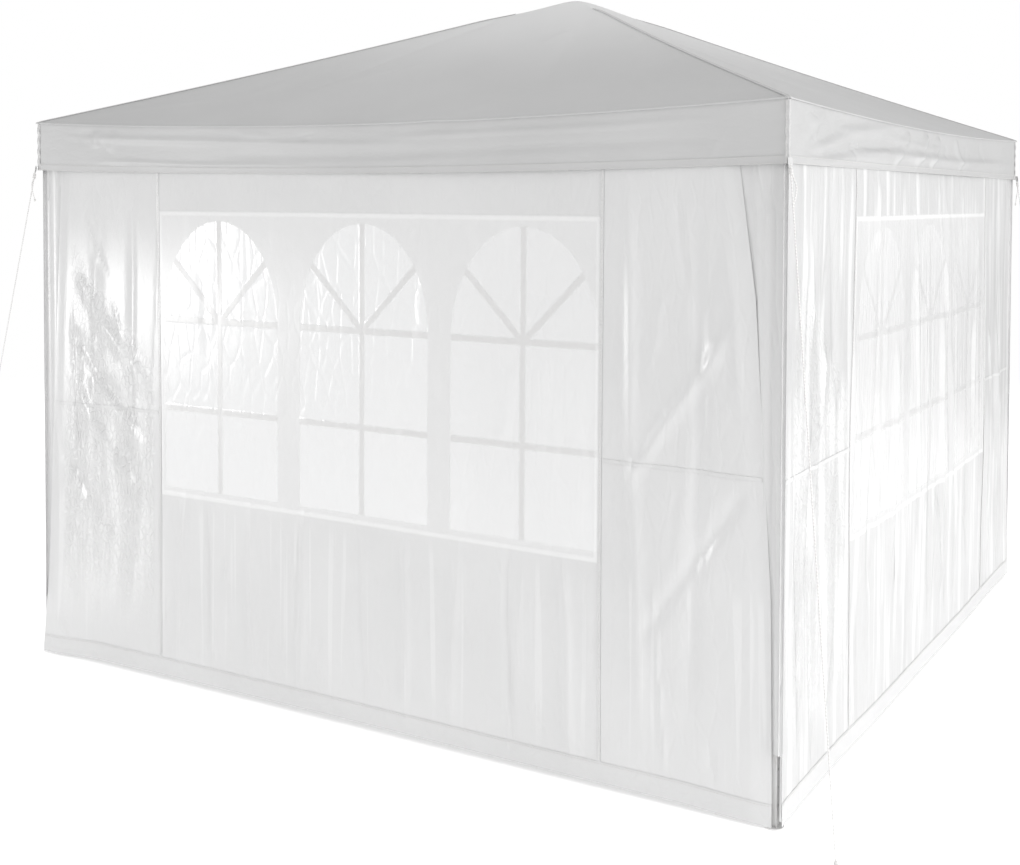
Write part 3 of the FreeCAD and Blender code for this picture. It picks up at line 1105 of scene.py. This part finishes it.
    def flank(self, side: Side, end: int) -> list[bpy.types.Object]:
        """A gore's three-cornered part beside its middle, up to the hip at one end.

        Args:
            side: The gore's side.
            end: 1 for the hip at the end corner, -1 for the start corner.

        Returns:
            The cloth, and at the end corner its hip tape and stitches too.
        """
        rows = self.rows()
        rows[0] += 0.004
        share, up = grid(np.linspace(0, 1, 62), -rows[::-1])
        t = self.crown_half + (self.reach(-up) - self.crown_half) * share
        t = t if end > 0 else -t[:, ::-1]
        word = "end" if end > 0 else "start"
        name = f"roof_flank_{side.label}_{word}"
        cloth = sheet_piece(name, self.surface(side), t, up, self.finishes.roof)
        pieces = [cloth] + (self.hip(side) if end > 0 else [])
        carry(pieces, f"roof_panel_{side.label}",
              Gather(side.along, side.point(end * self.crown_half, 0.8, 2.2), self.folded))
        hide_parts(f"roof_panel_{side.label}")
        width = self.half - self.crown_half
        length = width * math.hypot(1, self.slope)
        width * length / 2
        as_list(pieces[1:])
        return pieces

    def hip(self, side: Side) -> list[bpy.types.Object]:
        """The folded tape sewn over the hip at a side's end corner, and its two rows of stitches."""
        this, after = self.surface(side), self.surface(Side((side.value + 1) % 4))

        def over(s: Array, up: Array) -> Array:
            """A point of the tape: s from -1 on this gore to 1 on the next."""
            q, w = -up, self.tape
            own = this(self.reach(q) - np.abs(s) * w, up)
            other = after(-self.reach(q) + np.abs(s) * w, up)
            point = np.where(s[..., None] < 0, own, other)
            lift = 0.0012 + 0.0016 * np.sqrt(np.clip(1 - s**2, 0, 1))
            tilt = smooth(self.lip_start - 0.01, self.run, q)[..., None]
            normal = np.array([0, 0, 1.0]) * (1 - tilt) + diagonal(side.value + 1) * (tilt + 0.25)
            return point + normal * lift[..., None]

        slope = np.linspace(self.crown_half - 0.03, self.lip_start, 120)
        line = -np.concatenate([slope, self.rows()[-7:]])[::-1]
        s, up = grid(np.linspace(-1, 1, 9), line)
        tape = sheet_piece(f"hip_tape_{side.end_corner}", over, s, up, self.finishes.seam,
                           flat=lambda a, b: np.stack([a * self.tape, b], axis=-1))
        lines = [over(np.full_like(line, at), line) + [0, 0, 0.0003] for at in (-0.62, 0.62)]
        sewn = self.stitching.sew(f"hip_stitches_{side.end_corner}", lines, seed=20 + side.value)
        return [tape, sewn]

    def build(self) -> list[bpy.types.Object]:
        """Makes the whole roof."""
        pieces = [self.crown()]
        for side in Side:
            pieces.append(self.middle(side))
            pieces += self.flank(side, -1) + self.flank(side, 1)
        return pieces


# -------------------------------------------------------------------- valances


@dataclass
class Valance:
    """The strip that hangs from one eave, with its hem."""

    roof: Roof
    side: Side
    depth: float = 0.180
    inset: float = 0.0045
    sags: tuple[float, float, float, float] = (0.020, 0.000, 0.014, 0.012)
    clear: float = 0.0032
    hem: float = 0.024
    folded: float = 0.136
    folds: list[Crease] = field(default_factory=list)

    def __post_init__(self) -> None:
        """Lays out the folds of this side."""
        level = creases(
            (-1.40, 0.045, 0.30, 0.075, 0.0030, 0.013), (-0.60, 0.115, 1.35, 0.095, -0.0035, 0.016),
            (-1.20, 0.140, -0.20, 0.150, 0.0025, 0.010), (0.10, 0.050, 1.30, 0.040, 0.0025, 0.012))
        if self.side is Side.RIGHT:
            level = self.rumpled() + level[:1]
        self.folds = level + random_creases(60 + self.side.value, 9, (-1.4, 1.4), (0.01, 0.17), 0.16,
                                            (-0.003, 0.003), (0.012, 0.03))

    @staticmethod
    def rumpled() -> list[Crease]:
        """Folds of a strip that hangs loose: a fan from its near end, rumples and one long fold."""
        fan = [(-1.48, 0.165, -1.48 + 1.1 * math.cos(turn), 0.165 - 0.62 * math.sin(turn), height, width)
               for turn, height, width in (
                   (0.05, 0.010, 0.018), (0.16, -0.010, 0.020), (0.30, 0.011, 0.024),
                   (0.50, -0.009, 0.026), (0.80, 0.008, 0.026), (1.1, -0.006, 0.024))]
        rumples = [(x, 0.01, x + lean, 0.15, height, 0.026) for x, lean, height in (
            (-0.30, -0.20, 0.010), (-0.06, -0.18, 0.016), (0.10, -0.14, 0.013), (0.34, 0.10, 0.006))]
        return creases(*fan, *rumples, (-1.25, 0.122, 1.42, 0.116, 0.012, 0.018))

    @property
    def out(self) -> float:
        """Distance of the strip from the gazebo's middle."""
        return self.roof.half - self.inset

    def surface(self) -> Surface:
        """The outer face, by t along the side and drop, which runs up from minus the depth to 0."""

        def at(t: Array, drop: Array) -> Array:
            """A point of the strip."""
            share = -drop / self.depth
            edge = np.clip(t / self.out, -1, 1)
            top = self.roof.height(self.side, t, np.full_like(t, self.roof.lip_start)) - 0.004
            eave = self.roof.peak - self.roof.slope * self.roof.half
            low = eave - self.depth - self.sags[self.side.value] * (1 - edge**2)
            held = 1 - edge**8
            lift = lift_of(self.folds, t, -drop) * held * smooth(0.0, 0.25, share)
            lift = np.where(lift < 0, -self.clear * np.tanh(-lift / self.clear), lift)
            swing = 0.004 * np.sin(t * 3.1 + self.side.value) * share * held
            point = np.stack([t, -(self.out + lift + swing), top + (low - top) * share], axis=-1)
            return turned(point, self.side.value)

        return at

    def build(self) -> list[bpy.types.Object]:
        """Makes the strip, its hem and the hem's stitches."""
        finishes, name, surface = self.roof.finishes, self.side.label, self.surface()
        cloth = finishes.valance_loose if self.side is Side.RIGHT else finishes.valance
        along = np.linspace(-self.out, self.out, 300)
        t, drop = grid(along, np.linspace(-self.depth, 0, 26))
        strip = sheet_piece(f"valance_{name}", surface, t, drop, cloth)
        t, drop = grid(along, np.linspace(-self.depth, -self.depth + self.hem, 6))
        hem = sheet_piece(f"valance_hem_{name}", place_on(surface, 0.0009), t, drop, cloth)
        line = np.linspace(-self.out + 0.01, self.out - 0.01, 400)
        over = place_on(surface, 0.0013)
        rows = [over(line, np.full_like(line, -self.depth + at)) for at in (0.003, 0.021)]
        sewn = self.roof.stitching.sew(f"valance_stitches_{name}", rows, seed=30 + self.side.value)
        carry([strip, hem, sewn], f"slider_{self.side.start_corner}",
              Gather(self.side.along, self.side.point(-self.out, self.out, 1.9), self.folded))
        2 * self.out
        return [strip, hem, sewn]


@dataclass
class ValanceCorner:
    """The upright taped seam between two valances."""

    before: Valance
    after: Valance
    width: float = 0.011

    def build(self) -> list[bpy.types.Object]:
        """Makes the seam tape and its stitches."""
        corner = self.after.side.start_corner
        one, two = self.before.surface(), self.after.surface()
        out, w = self.before.out, self.width
        away = diagonal(self.after.side.value)

        def over(s: Array, drop: Array) -> Array:
            """A point of the tape: s from -1 on the one valance to 1 on the other."""
            own = one(out - np.abs(s) * w, drop)
            other = two(-out + np.abs(s) * w, drop)
            lift = 0.0016 + 0.0022 * np.sqrt(np.clip(1 - s**2, 0, 1)) + 0.0012 * np.sin(drop * 160)
            return np.where(s[..., None] < 0, own, other) + away * lift[..., None]

        s, drop = grid(np.linspace(-1, 1, 9), np.linspace(-self.after.depth, -0.004, 40))
        tape = sheet_piece(f"corner_tape_{corner}", over, s, drop, self.after.roof.finishes.seam,
                           flat=lambda a, b: np.stack([a * w, b], axis=-1))
        line = np.linspace(-self.after.depth + 0.004, -0.008, 60)
        rows = [over(np.full_like(line, at), line) + away * 0.0004 for at in (-0.7, 0.7)]
        sewn = self.after.roof.stitching.sew(f"corner_stitches_{corner}", rows, seed=50)
        carry([tape, sewn], f"slider_{corner}")
        return [tape, sewn]


# ----------------------------------------------------------------------- walls


@dataclass
class Wall:
    """One side wall: a long sheet with a welded window patch, seams and a doubled hem.

    eave gives the eave's height along the side, which the wall's top stays below. left_edge and
    right_edge give where its two upright edges hang, as pairs of height and place along the side, and
    foot the height of its bottom edge, as pairs of place and height.
    """

    side: Side
    finishes: Finishes
    stitching: Stitching
    finish: bpy.types.Material
    eave: Callable[[Array], Array]
    out: float
    half: float
    top: float
    bottom: float
    left_edge: tuple[Span, ...] = ((0.0, -1.480), (0.156, -1.478), (1.833, -1.400), (2.0, -1.395))
    right_edge: tuple[Span, ...] = ((0.0, 1.480), (0.643, 1.466), (1.843, 1.400), (2.0, 1.395))
    foot: tuple[Span, ...] = ((-1.478, 0.005), (-1.2, 0.016), (0.0, 0.020), (1.2, 0.016), (1.478, 0.005))
    folds: list[Crease] = field(default_factory=list)
    flare: Span = (0.016, 0.010)
    tuck: float = 0.0065
    billow: float = 0.006
    straight: float = 0.95
    under: float = 0.020
    seams_up: Span = (-0.876, 0.922)
    seams_level: tuple[tuple[float, float, float], ...] = ((-1.470, -0.885, 0.963), (0.930, 1.470, 0.972))
    seam_half: float = 0.006
    hem: float = 0.065
    raised: float = 0.0010
    folded: float = 0.123
    columns: int = 260
    rows: int = 118

    def surface(self) -> Surface:
        """The outer face, by t along the side and z up it, both as the sheet was cut."""
        left, right, foot = (np.array(p) for p in (self.left_edge, self.right_edge, self.foot))

        def at(t: Array, z: Array) -> Array:
            """A point of the hung wall."""
            low = np.interp(t, foot[:, 0], foot[:, 1])
            up = low + (z - self.bottom) * (self.top - low) / (self.top - self.bottom)
            crest = np.minimum(self.eave(t) - self.under, self.top)
            up = up - (self.top - crest) * smooth(self.top - 0.25, self.top, z)
            xl = np.interp(up, left[:, 0], left[:, 1])
            xr = np.interp(up, right[:, 0], right[:, 1])
            s, reach = self.straight, self.half - self.straight
            beyond_r = s + (t - s) * (xr - s) / reach
            beyond_l = -s + (t + s) * (-s - xl) / reach
            x = np.where(t > s, beyond_r, np.where(t < -s, beyond_l, t))
            lift = lift_of(self.folds, t, z)
            lift = lift + self.billow * np.sin(t * 2.1 + self.side.value) * np.sin(z * 1.7 + 0.4)
            lift = lift * smooth(1.02, 0.96, np.abs(t) / self.half)
            lift = np.where(lift > 0, lift * smooth(1.90, 1.74, z), lift * smooth(2.0, 1.9, z))
            tucked = smooth(self.half - 0.07, self.half, np.abs(t)) * smooth(0.0, 0.35, z + 0.2)
            flared = self.flare[0] * smooth(-1.2, -1.47, t) + self.flare[1] * smooth(1.2, 1.47, t)
            lift = lift - self.tuck * tucked + smooth(0.35, 0.0, z) * flared
            return turned(np.stack([x, -(self.out + lift), up], axis=-1), self.side.value)

        return at

    def strip(self, name: str, t: Span, z: Span, cells: tuple[int, int]) -> bpy.types.Object:
        """A band sewn or welded on the wall.

        Args:
            name: The band's piece name.
            t: Its two ends along the side.
            z: Its lower and upper edge.
            cells: Number of points along and up.

        Returns:
            The band.
        """
        a, b = grid(np.linspace(*t, cells[0]), np.linspace(*z, cells[1]))
        return sheet_piece(name, place_on(self.surface(), self.raised), a, b, self.finishes.hem)

    def build(self) -> list[bpy.types.Object]:
        """Makes the wall and all that is sewn on it."""
        name = self.side.label
        a, b = grid(np.linspace(-self.half, self.half, self.columns),
                    np.linspace(self.bottom, self.top, self.rows))
        wall = sheet_piece(f"wall_sheet_{name}", self.surface(), a, b, self.finish)
        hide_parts(f"wall_{name}")
        low, high, wide = self.bottom + 0.001, self.bottom + self.hem, self.seam_half
        extras = [self.strip(f"wall_hem_{name}", (-self.half, self.half), (low, high), (self.columns, 7))]
        extras += [self.strip(f"wall_seam_{name}_{number}", (t - wide, t + wide), (high, self.top),
                              (4, self.rows)) for number, t in enumerate(self.seams_up)]
        extras += [self.strip(f"wall_join_{name}_{number}", (t0, t1), (z - wide, z + wide), (50, 4))
                   for number, (t0, t1, z) in enumerate(self.seams_level)]
        over = place_on(self.surface(), 0.0015)
        along = np.linspace(-self.half + 0.01, self.half - 0.01, 400)
        upright = np.linspace(high + 0.01, self.top - 0.01, 220)
        lines = [over(along, np.full_like(along, high - 0.006))]
        lines += [over(np.full_like(upright, t), upright) for t in self.seams_up]
        seed = 70 + self.side.value
        extras.append(self.stitching.sew(f"wall_stitches_{name}", lines, seed, pitch=0.010))
        carry([wall, *extras], f"leg_{self.side.start_corner}",
              Gather(self.side.along, self.side.point(-self.half, self.out, 1.0), self.folded))
        2 * self.half
        self.top - self.bottom
        return [wall, *extras]


@dataclass
class CornerFlap:
    """The flap behind a wall's upright edge, fixed along the leg."""

    side: Side
    end: int
    finishes: Finishes
    leg_face: float
    top: float = 1.98
    bottom: float = 0.210
    wide: float = 0.150
    narrow: float = 0.050
    behind: float = 0.0075
    wrap: float = 0.0170

    def surface(self) -> Surface:
        """The outer face, by a, whose size is the share across from the leg, and height."""

        def at(a: Array, z: Array) -> Array:
            """A point of the flap."""
            share = np.abs(a)
            width = self.narrow + (self.wide - self.narrow) * np.clip(z / self.top, 0, 1)
            pull = 0.0030 * np.sin(share * 11 + z * 2.0) * share * (1 - share) * 4
            x = self.end * (self.leg_face + self.wrap - (width + self.wrap) * share)
            return turned(np.stack([x, -(self.leg_face + self.behind + pull), z], axis=-1), self.side.value)

        return at

    def build(self) -> list[bpy.types.Object]:
        """Makes the flap."""
        first = 0 if self.end < 0 else -1
        a, b = grid(np.linspace(first, first + 1, 14), np.linspace(self.bottom, self.top, 80))
        corner = self.side.start_corner if self.end < 0 else self.side.end_corner
        word = "start" if self.end < 0 else "end"
        flap = sheet_piece(f"wall_flap_{self.side.label}_{word}", self.surface(), a, b, self.finishes.flap,
                           flat=lambda p, q: np.stack([p * self.wide, q], axis=-1))
        carry([flap], f"leg_{corner}")
        widest, height = self.wide + self.wrap, self.top - self.bottom
        area = (widest + self.narrow + self.wrap) / 2 * height
        return [flap]


# ------------------------------------------------------------------- guy ropes


@dataclass
class GuyRope:
    """A taut rope from a valance corner down to the ground, with its tab, knot, tail and end loop."""

    corner: int
    finishes: Finishes
    eave: float
    clear: float = 0.004
    top_z: float = 1.838
    spread: float = 0.230
    eye_radius: float = 0.022
    eye_z: float = 0.018
    diameter: float = 0.004
    sag: float = 0.008
    tail: float = 0.085
    tab_half: float = 0.007
    tab_length: float = 0.070
    tab_thickness: float = 0.0012

    def at(self, out: float, z: float) -> Array:
        """A point on the corner's upright diagonal plane: out along both X and Y, and up."""
        return turned(np.array([-self.eave - out, -self.eave - out, z]), self.corner)

    def spline(self, name: str, points: Sequence[Array], radius: float) -> bpy.types.Object:
        """A round cord whose centreline is one smooth spline with these control points."""
        curve = bpy.data.curves.new(name, "CURVE")
        curve.dimensions = "3D"
        curve.resolution_u = 12
        curve.bevel_depth, curve.bevel_resolution, curve.use_fill_caps = radius, 3, True
        line = curve.splines.new("NURBS")
        line.points.add(len(points) - 1)
        for spot, point in zip(line.points, points):
            spot.co = (*point.tolist(), 1.0)
        line.order_u = 3
        line.use_endpoint_u = True
        curve.materials.append(self.finishes.rope)
        return linked(name, curve)

    def knot(self, name: str, middle: Array, along: Array, size: float, turns: float) -> bpy.types.Object:
        """Turns of the rope wound round itself.

        Args:
            name: The knot's piece name.
            middle: Its middle.
            along: Unit vector of the line that it is wound round.
            size: Radius of the turns.
            turns: How many.

        Returns:
            The knot.
        """
        side = np.cross(along, [0.2, 0.9, 0.3])
        side /= np.linalg.norm(side)
        other = np.cross(along, side)
        angle = np.linspace(0, turns * 2 * np.pi, int(turns * 16))[:, None]
        length = turns * self.diameter * 1.02
        share = angle / angle[-1]
        swell = size * (0.85 + 0.15 * np.sin(share * np.pi))
        wound = swell * (np.cos(angle) * side + np.sin(angle) * other)
        path = middle + along * (share - 0.5) * length + wound
        return tube_piece(name, path, self.diameter / 2, self.finishes.rope, sides=8)

    def build(self) -> list[bpy.types.Object]:
        """Makes the rope and what is on it."""
        name = CORNERS[self.corner]
        top = self.at(self.clear, self.top_z)
        ground = self.at(self.spread, self.eye_z + self.diameter / 2)
        line = ground - top
        along = line / np.linalg.norm(line)
        eye = ground - along * self.eye_radius
        end = eye - along * self.eye_radius
        middle = (top + end) / 2 - [0, 0, self.sag]
        rope = self.spline(f"rope_{name}", [top, middle, end], self.diameter / 2)
        out, across = diagonal(self.corner), diagonal(self.corner + 1)
        turn = np.linspace(0, 2 * np.pi, 48, endpoint=False)[:, None]
        ring = eye + self.eye_radius * (np.cos(turn) * across + np.sin(turn) * along)
        loop = tube_piece(f"rope_eye_{name}", ring, self.diameter / 2, self.finishes.rope, closed=True)
        low_knot = self.knot(f"rope_eye_knot_{name}", end - along * 0.010, along, 0.0040, 4)
        high_knot = self.knot(f"rope_knot_{name}", top + along * 0.020, along, 0.0042, 5)
        tab = self.tab(name)
        start = top + along * 0.026 + across * 0.003
        hang = ((0.002, 0.004, 0.012), (0.010, 0.008, 0.030), (0.012, 0.004, 0.055),
                (0.006, -0.003, self.tail))
        points = [start] + [start + across * a + out * o - np.array([0, 0, drop]) for a, o, drop in hang]
        tail = self.spline(f"rope_tail_{name}", points, self.diameter / 2)
        tip = self.knot(f"rope_tail_knot_{name}", points[-1], np.array([0, 0, -1.0]), 0.0024, 2.5)
        pieces = [rope, loop, low_knot, high_knot, tab, tail, tip]
        carry(pieces, f"leg_{name}")
        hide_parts(f"guy_rope_{name}")
        float(np.linalg.norm(end - top))
        length = float(sum(np.linalg.norm(b - a) for a, b in zip(points, points[1:])))
        return pieces

    def tab(self, name: str) -> bpy.types.Object:
        """A webbing loop at the valance's lower corner, folded over the rope's first turn."""
        out, across, base = diagonal(self.corner), diagonal(self.corner + 1), self.at(0.0, self.top_z)

        def at(a: Array, b: Array) -> Array:
            """A point of the strap: a across it, b from its inner end round the fold."""
            turn = (b - 0.5) * 2
            depth = 0.0052 * np.cos(turn * np.pi / 2) + 0.0012
            rise = 0.030 - 0.030 * np.cos(turn * np.pi / 2) ** 0.6
            shift = 0.0022 * np.sign(turn) * np.abs(turn) ** 0.5
            point = base + across * (a * self.tab_half)[..., None] + out * (depth + shift)[..., None]
            return point + np.stack([np.zeros_like(a)] * 2 + [rise - 0.006], axis=-1)

        a, b = grid(np.linspace(-1, 1, 7), np.linspace(0.02, 0.98, 25))
        return sheet_piece(f"rope_tab_{name}", at, a, b, self.finishes.seam, self.tab_thickness,
                           lambda p, q: np.stack([p * self.tab_half, q * self.tab_length], axis=-1))


# ------------------------------------------------------------- frame and studio


@dataclass
class FrameDress:
    """Finishes for the frame's own pieces."""

    finishes: Finishes

    def build(self) -> None:
        """Gives each frame piece the finish of its slot."""
        by_slot = {"white_steel": self.finishes.steel, "bracket_plastic": self.finishes.bracket,
                   "foot_plastic": self.finishes.foot, "wall_film": self.finishes.wall,
                   "roof_fabric": self.finishes.roof, "rope": self.finishes.rope}
        for part in frame["record"]["subparts"]:
            mesh = frame["nodes"][part["node"]].data
            mesh.materials.clear()
            mesh.materials.append(by_slot[part["material_slot"]])


@dataclass
class Studio:
    """Camera, pale floor and soft light."""

    finishes: Finishes
    eye: tuple[float, float, float] = (2.7717, -4.9559, 1.7417)
    yaw: float = -0.5138
    pitch: float = 0.0324
    roll: float = 0.005
    lens: float = 47.52
    sensor: float = 36.0
    shift: Span = (-0.05882, -0.18627)
    seen: float = 1.0
    lit: float = 0.74

    def camera(self) -> None:
        """Sets the camera."""
        sy, cy, sp, cp = math.sin(self.yaw), math.cos(self.yaw), math.sin(self.pitch), math.cos(self.pitch)
        ahead = Vector((sy * cp, cy * cp, -sp))
        right = Vector((cy, -sy, 0.0))
        up = right.cross(ahead)
        sr, cr = math.sin(self.roll), math.cos(self.roll)
        right, up = right * cr + up * sr, up * cr - right * sr
        data = bpy.data.cameras.new("studio_camera")
        data.lens, data.sensor_width, data.sensor_fit = self.lens, self.sensor, "HORIZONTAL"
        data.shift_x, data.shift_y = self.shift
        data.clip_end = 200
        camera = linked("studio_camera", data)
        camera.matrix_world = Matrix.Translation(self.eye) @ Matrix((right, up, -ahead)).transposed().to_4x4()
        bpy.context.scene.camera = camera

    def floor(self) -> None:
        """Lays the floor."""
        half = 60.0
        points = np.array([(-half, -half, 0), (half, -half, 0), (half, half, 0), (-half, half, 0)], float)
        piece = mesh_piece("studio_floor", points, [(0, 1, 2, 3)], self.finishes.floor)

    def lamp(self, name: str, place: Sequence[float], aim: Sequence[float], power: float,
             size: float) -> None:
        """Hangs one soft square lamp.

        Args:
            name: Its name.
            place: Where it hangs.
            aim: The point that it faces.
            power: Watts.
            size: Its side.
        """
        data = bpy.data.lights.new(name, "AREA")
        data.energy, data.size = power, size
        lamp = linked(name, data)
        lamp.location = place
        lamp.rotation_euler = (Vector(aim) - Vector(place)).to_track_quat("-Z", "Y").to_euler()

    def sky(self) -> None:
        """Plain bright surroundings, dimmer as light than they look."""
        world = bpy.data.worlds.new("studio_sky")
        bpy.context.scene.world = world
        world.use_nodes = True
        nodes, links = world.node_tree.nodes, world.node_tree.links
        nodes.clear()
        path, mix = nodes.new("ShaderNodeLightPath"), nodes.new("ShaderNodeMixShader")
        links.new(path.outputs["Is Camera Ray"], mix.inputs[0])
        for number, strength in ((1, self.lit), (2, self.seen)):
            sky = nodes.new("ShaderNodeBackground")
            sky.inputs["Color"].default_value = grey(1.0)
            sky.inputs["Strength"].default_value = strength
            links.new(sky.outputs[0], mix.inputs[number])
        links.new(mix.outputs[0], nodes.new("ShaderNodeOutputWorld").inputs[0])

    def build(self) -> None:
        """Sets up the whole studio."""
        self.camera()
        self.floor()
        self.sky()
        self.lamp("key", (8.6, -2.4, 2.4), (0.5, 0.2, 1.0), 330, 2.2)
        self.lamp("fill", (-9.1, -8.5, 0.85), (-0.8, 0, 1.0), 240, 1.4)
        self.lamp("top", (0.5, -1.0, 4.6), (0, 0, 2.4), 6, 1.0)
        self.lamp("back", (-6.0, 7.0, 3.0), (0, 0, 1.0), 300, 3.0)
        bpy.context.scene.view_settings.view_transform = "Standard"


# ------------------------------------------------------------------------ main


def front_folds() -> list[Crease]:
    """Folds of the front wall: few on the windows, uprights below them, crushed strips beside them."""
    uprights = [(x, 0.70, x + lean, 0.03, height, width) for x, lean, height, width in (
        (-0.75, -0.03, 0.007, 0.016), (-0.65, 0.02, -0.006, 0.014), (-0.45, 0.02, 0.006, 0.015),
        (-0.20, -0.02, 0.007, 0.014), (0.02, 0.03, -0.005, 0.018), (0.22, 0.0, 0.006, 0.013),
        (0.42, -0.03, 0.005, 0.016), (0.60, 0.02, -0.006, 0.014), (0.80, 0.03, 0.007, 0.016))]
    folds = creases(
        *uprights,
        (-1.36, 1.45, -0.92, 1.02, 0.010, 0.026), (-1.40, 1.25, -0.95, 0.86, -0.009, 0.024),
        (-1.38, 1.08, -0.98, 0.62, 0.010, 0.022), (-1.42, 0.80, -1.02, 0.40, -0.007, 0.022),
        (-1.20, 1.75, -1.28, 0.30, 0.006, 0.030), (-1.02, 1.80, -1.05, 0.10, -0.006, 0.022),
        (1.02, 1.80, 1.06, 0.10, 0.006, 0.022), (1.30, 1.70, 1.22, 0.20, -0.006, 0.026),
        (1.40, 1.40, 1.00, 0.90, 0.006, 0.024), (1.42, 0.95, 1.05, 0.45, -0.006, 0.022))
    folds += random_creases(81, 26, (-1.4, 1.4), (0.02, 0.66), 0.05, (-0.004, 0.004), (0.006, 0.014))
    folds += random_creases(82, 18, (-0.85, 0.9), (0.60, 1.80), 0.05, (-0.0022, 0.0022), (0.010, 0.03))
    folds += random_creases(83, 14, (-1.42, -0.92), (0.3, 1.8), 0.20, (-0.004, 0.004), (0.008, 0.02))
    folds += random_creases(84, 10, (0.96, 1.42), (0.2, 1.8), 0.10, (-0.003, 0.003), (0.008, 0.02))
    return folds


def loose_folds(seed: int, strength: float) -> list[Crease]:
    """Folds of a wall that hangs loose: many uprights of its whole height.

    Args:
        seed: Fixed seed.
        strength: 1 for a heavily creased wall.

    Returns:
        The folds.
    """
    tall = (-0.012 * strength, 0.014 * strength)
    folds = random_creases(seed, 34, (-1.42, 1.42), (0.0, 1.9), 0.12, tall, (0.012, 0.034))
    small = (-0.005 * strength, 0.005 * strength)
    folds += random_creases(seed + 1, 60, (-1.42, 1.42), (0.0, 1.8), 0.08, small, (0.006, 0.014))
    return folds


def build_walls(finishes: Finishes, stitching: Stitching, roof: Roof) -> list[bpy.types.Object]:
    """Makes the four walls and their corner flaps."""

    def hung(side: Side, **own: object) -> Wall:
        """One wall, under its own eave."""

        def eave(t: Array) -> Array:
            """Height of the eave along the side."""
            return roof.height(side, t, np.full_like(t, roof.lip_start))

        return Wall(side=side, eave=eave, **own, **same)

    low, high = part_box("wall_front")
    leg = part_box("leg_front_left")[0].x
    same = dict(finishes=finishes, stitching=stitching, out=-low.y - 0.001, half=high.x, top=high.z,
                bottom=low.z)
    walls = [
        hung(Side.FRONT, finish=finishes.wall, folds=front_folds(), flare=(0.016, 0.0),
             left_edge=((0.0, -1.480), (0.156, -1.478), (1.833, -1.385), (2.0, -1.378)),
             right_edge=((0.0, 1.462), (0.643, 1.452), (1.466, 1.400), (1.843, 1.349), (2.0, 1.335))),
        hung(Side.RIGHT, finish=finishes.side_wall, folds=loose_folds(91, 1.0), billow=0.010,
             left_edge=((0.0, -1.478), (2.0, -1.478)), tuck=0.0, flare=(0.0, 0.006),
             foot=((-1.478, 0.010), (-1.0, 0.018), (-0.6, 0.010), (0.0, 0.016), (0.6, 0.010),
                   (1.478, 0.010))),
        hung(Side.BACK, finish=finishes.wall, folds=loose_folds(95, 0.5)),
        hung(Side.LEFT, finish=finishes.side_wall, folds=loose_folds(99, 0.8),
             right_edge=((0.0, 1.478), (2.0, 1.478)), tuck=0.0),
    ]
    pieces = [piece for wall in walls for piece in wall.build()]
    for side in Side:
        for end in (-1, 1):
            pieces += CornerFlap(side, end, finishes, -leg).build()
    return pieces


def main() -> None:
    """Builds the gazebo and its studio."""
    logging.basicConfig(level=logging.INFO, format="%(name)s: %(message)s")
    for name in ("Cube", "Light", "Camera"):
        if name in bpy.data.objects:
            bpy.data.objects.remove(bpy.data.objects[name])
    finishes = Finishes.build()
    Studio(finishes).build()
    FrameDress(finishes).build()
    stitching = Stitching(finishes.thread)
    crown_low, crown_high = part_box("crown")
    slope = (crown_high.z - crown_low.z) / crown_high.x
    panel_low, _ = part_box("roof_panel_front")
    roof = Roof(finishes, stitching, half=-panel_low.y, peak=crown_high.z, slope=slope, crown_half=0.22)
    pieces: list[bpy.types.Object] = []
    for corner in range(4):
        pieces += GuyRope(corner, finishes, eave=roof.half).build()
    pieces += roof.build()
    valances = [Valance(roof, side) for side in Side]
    for valance in valances:
        pieces += valance.build()
    for side in Side:
        pieces += ValanceCorner(valances[(side.value - 1) % 4], valances[side.value]).build()
    pieces += build_walls(finishes, stitching, roof)
    for piece in pieces:
        count = len(piece.data.polygons) if piece.type == "MESH" else 0
        LOG.info("%s: %d faces", piece.name, count)


if __name__ == "__main__":
    main()
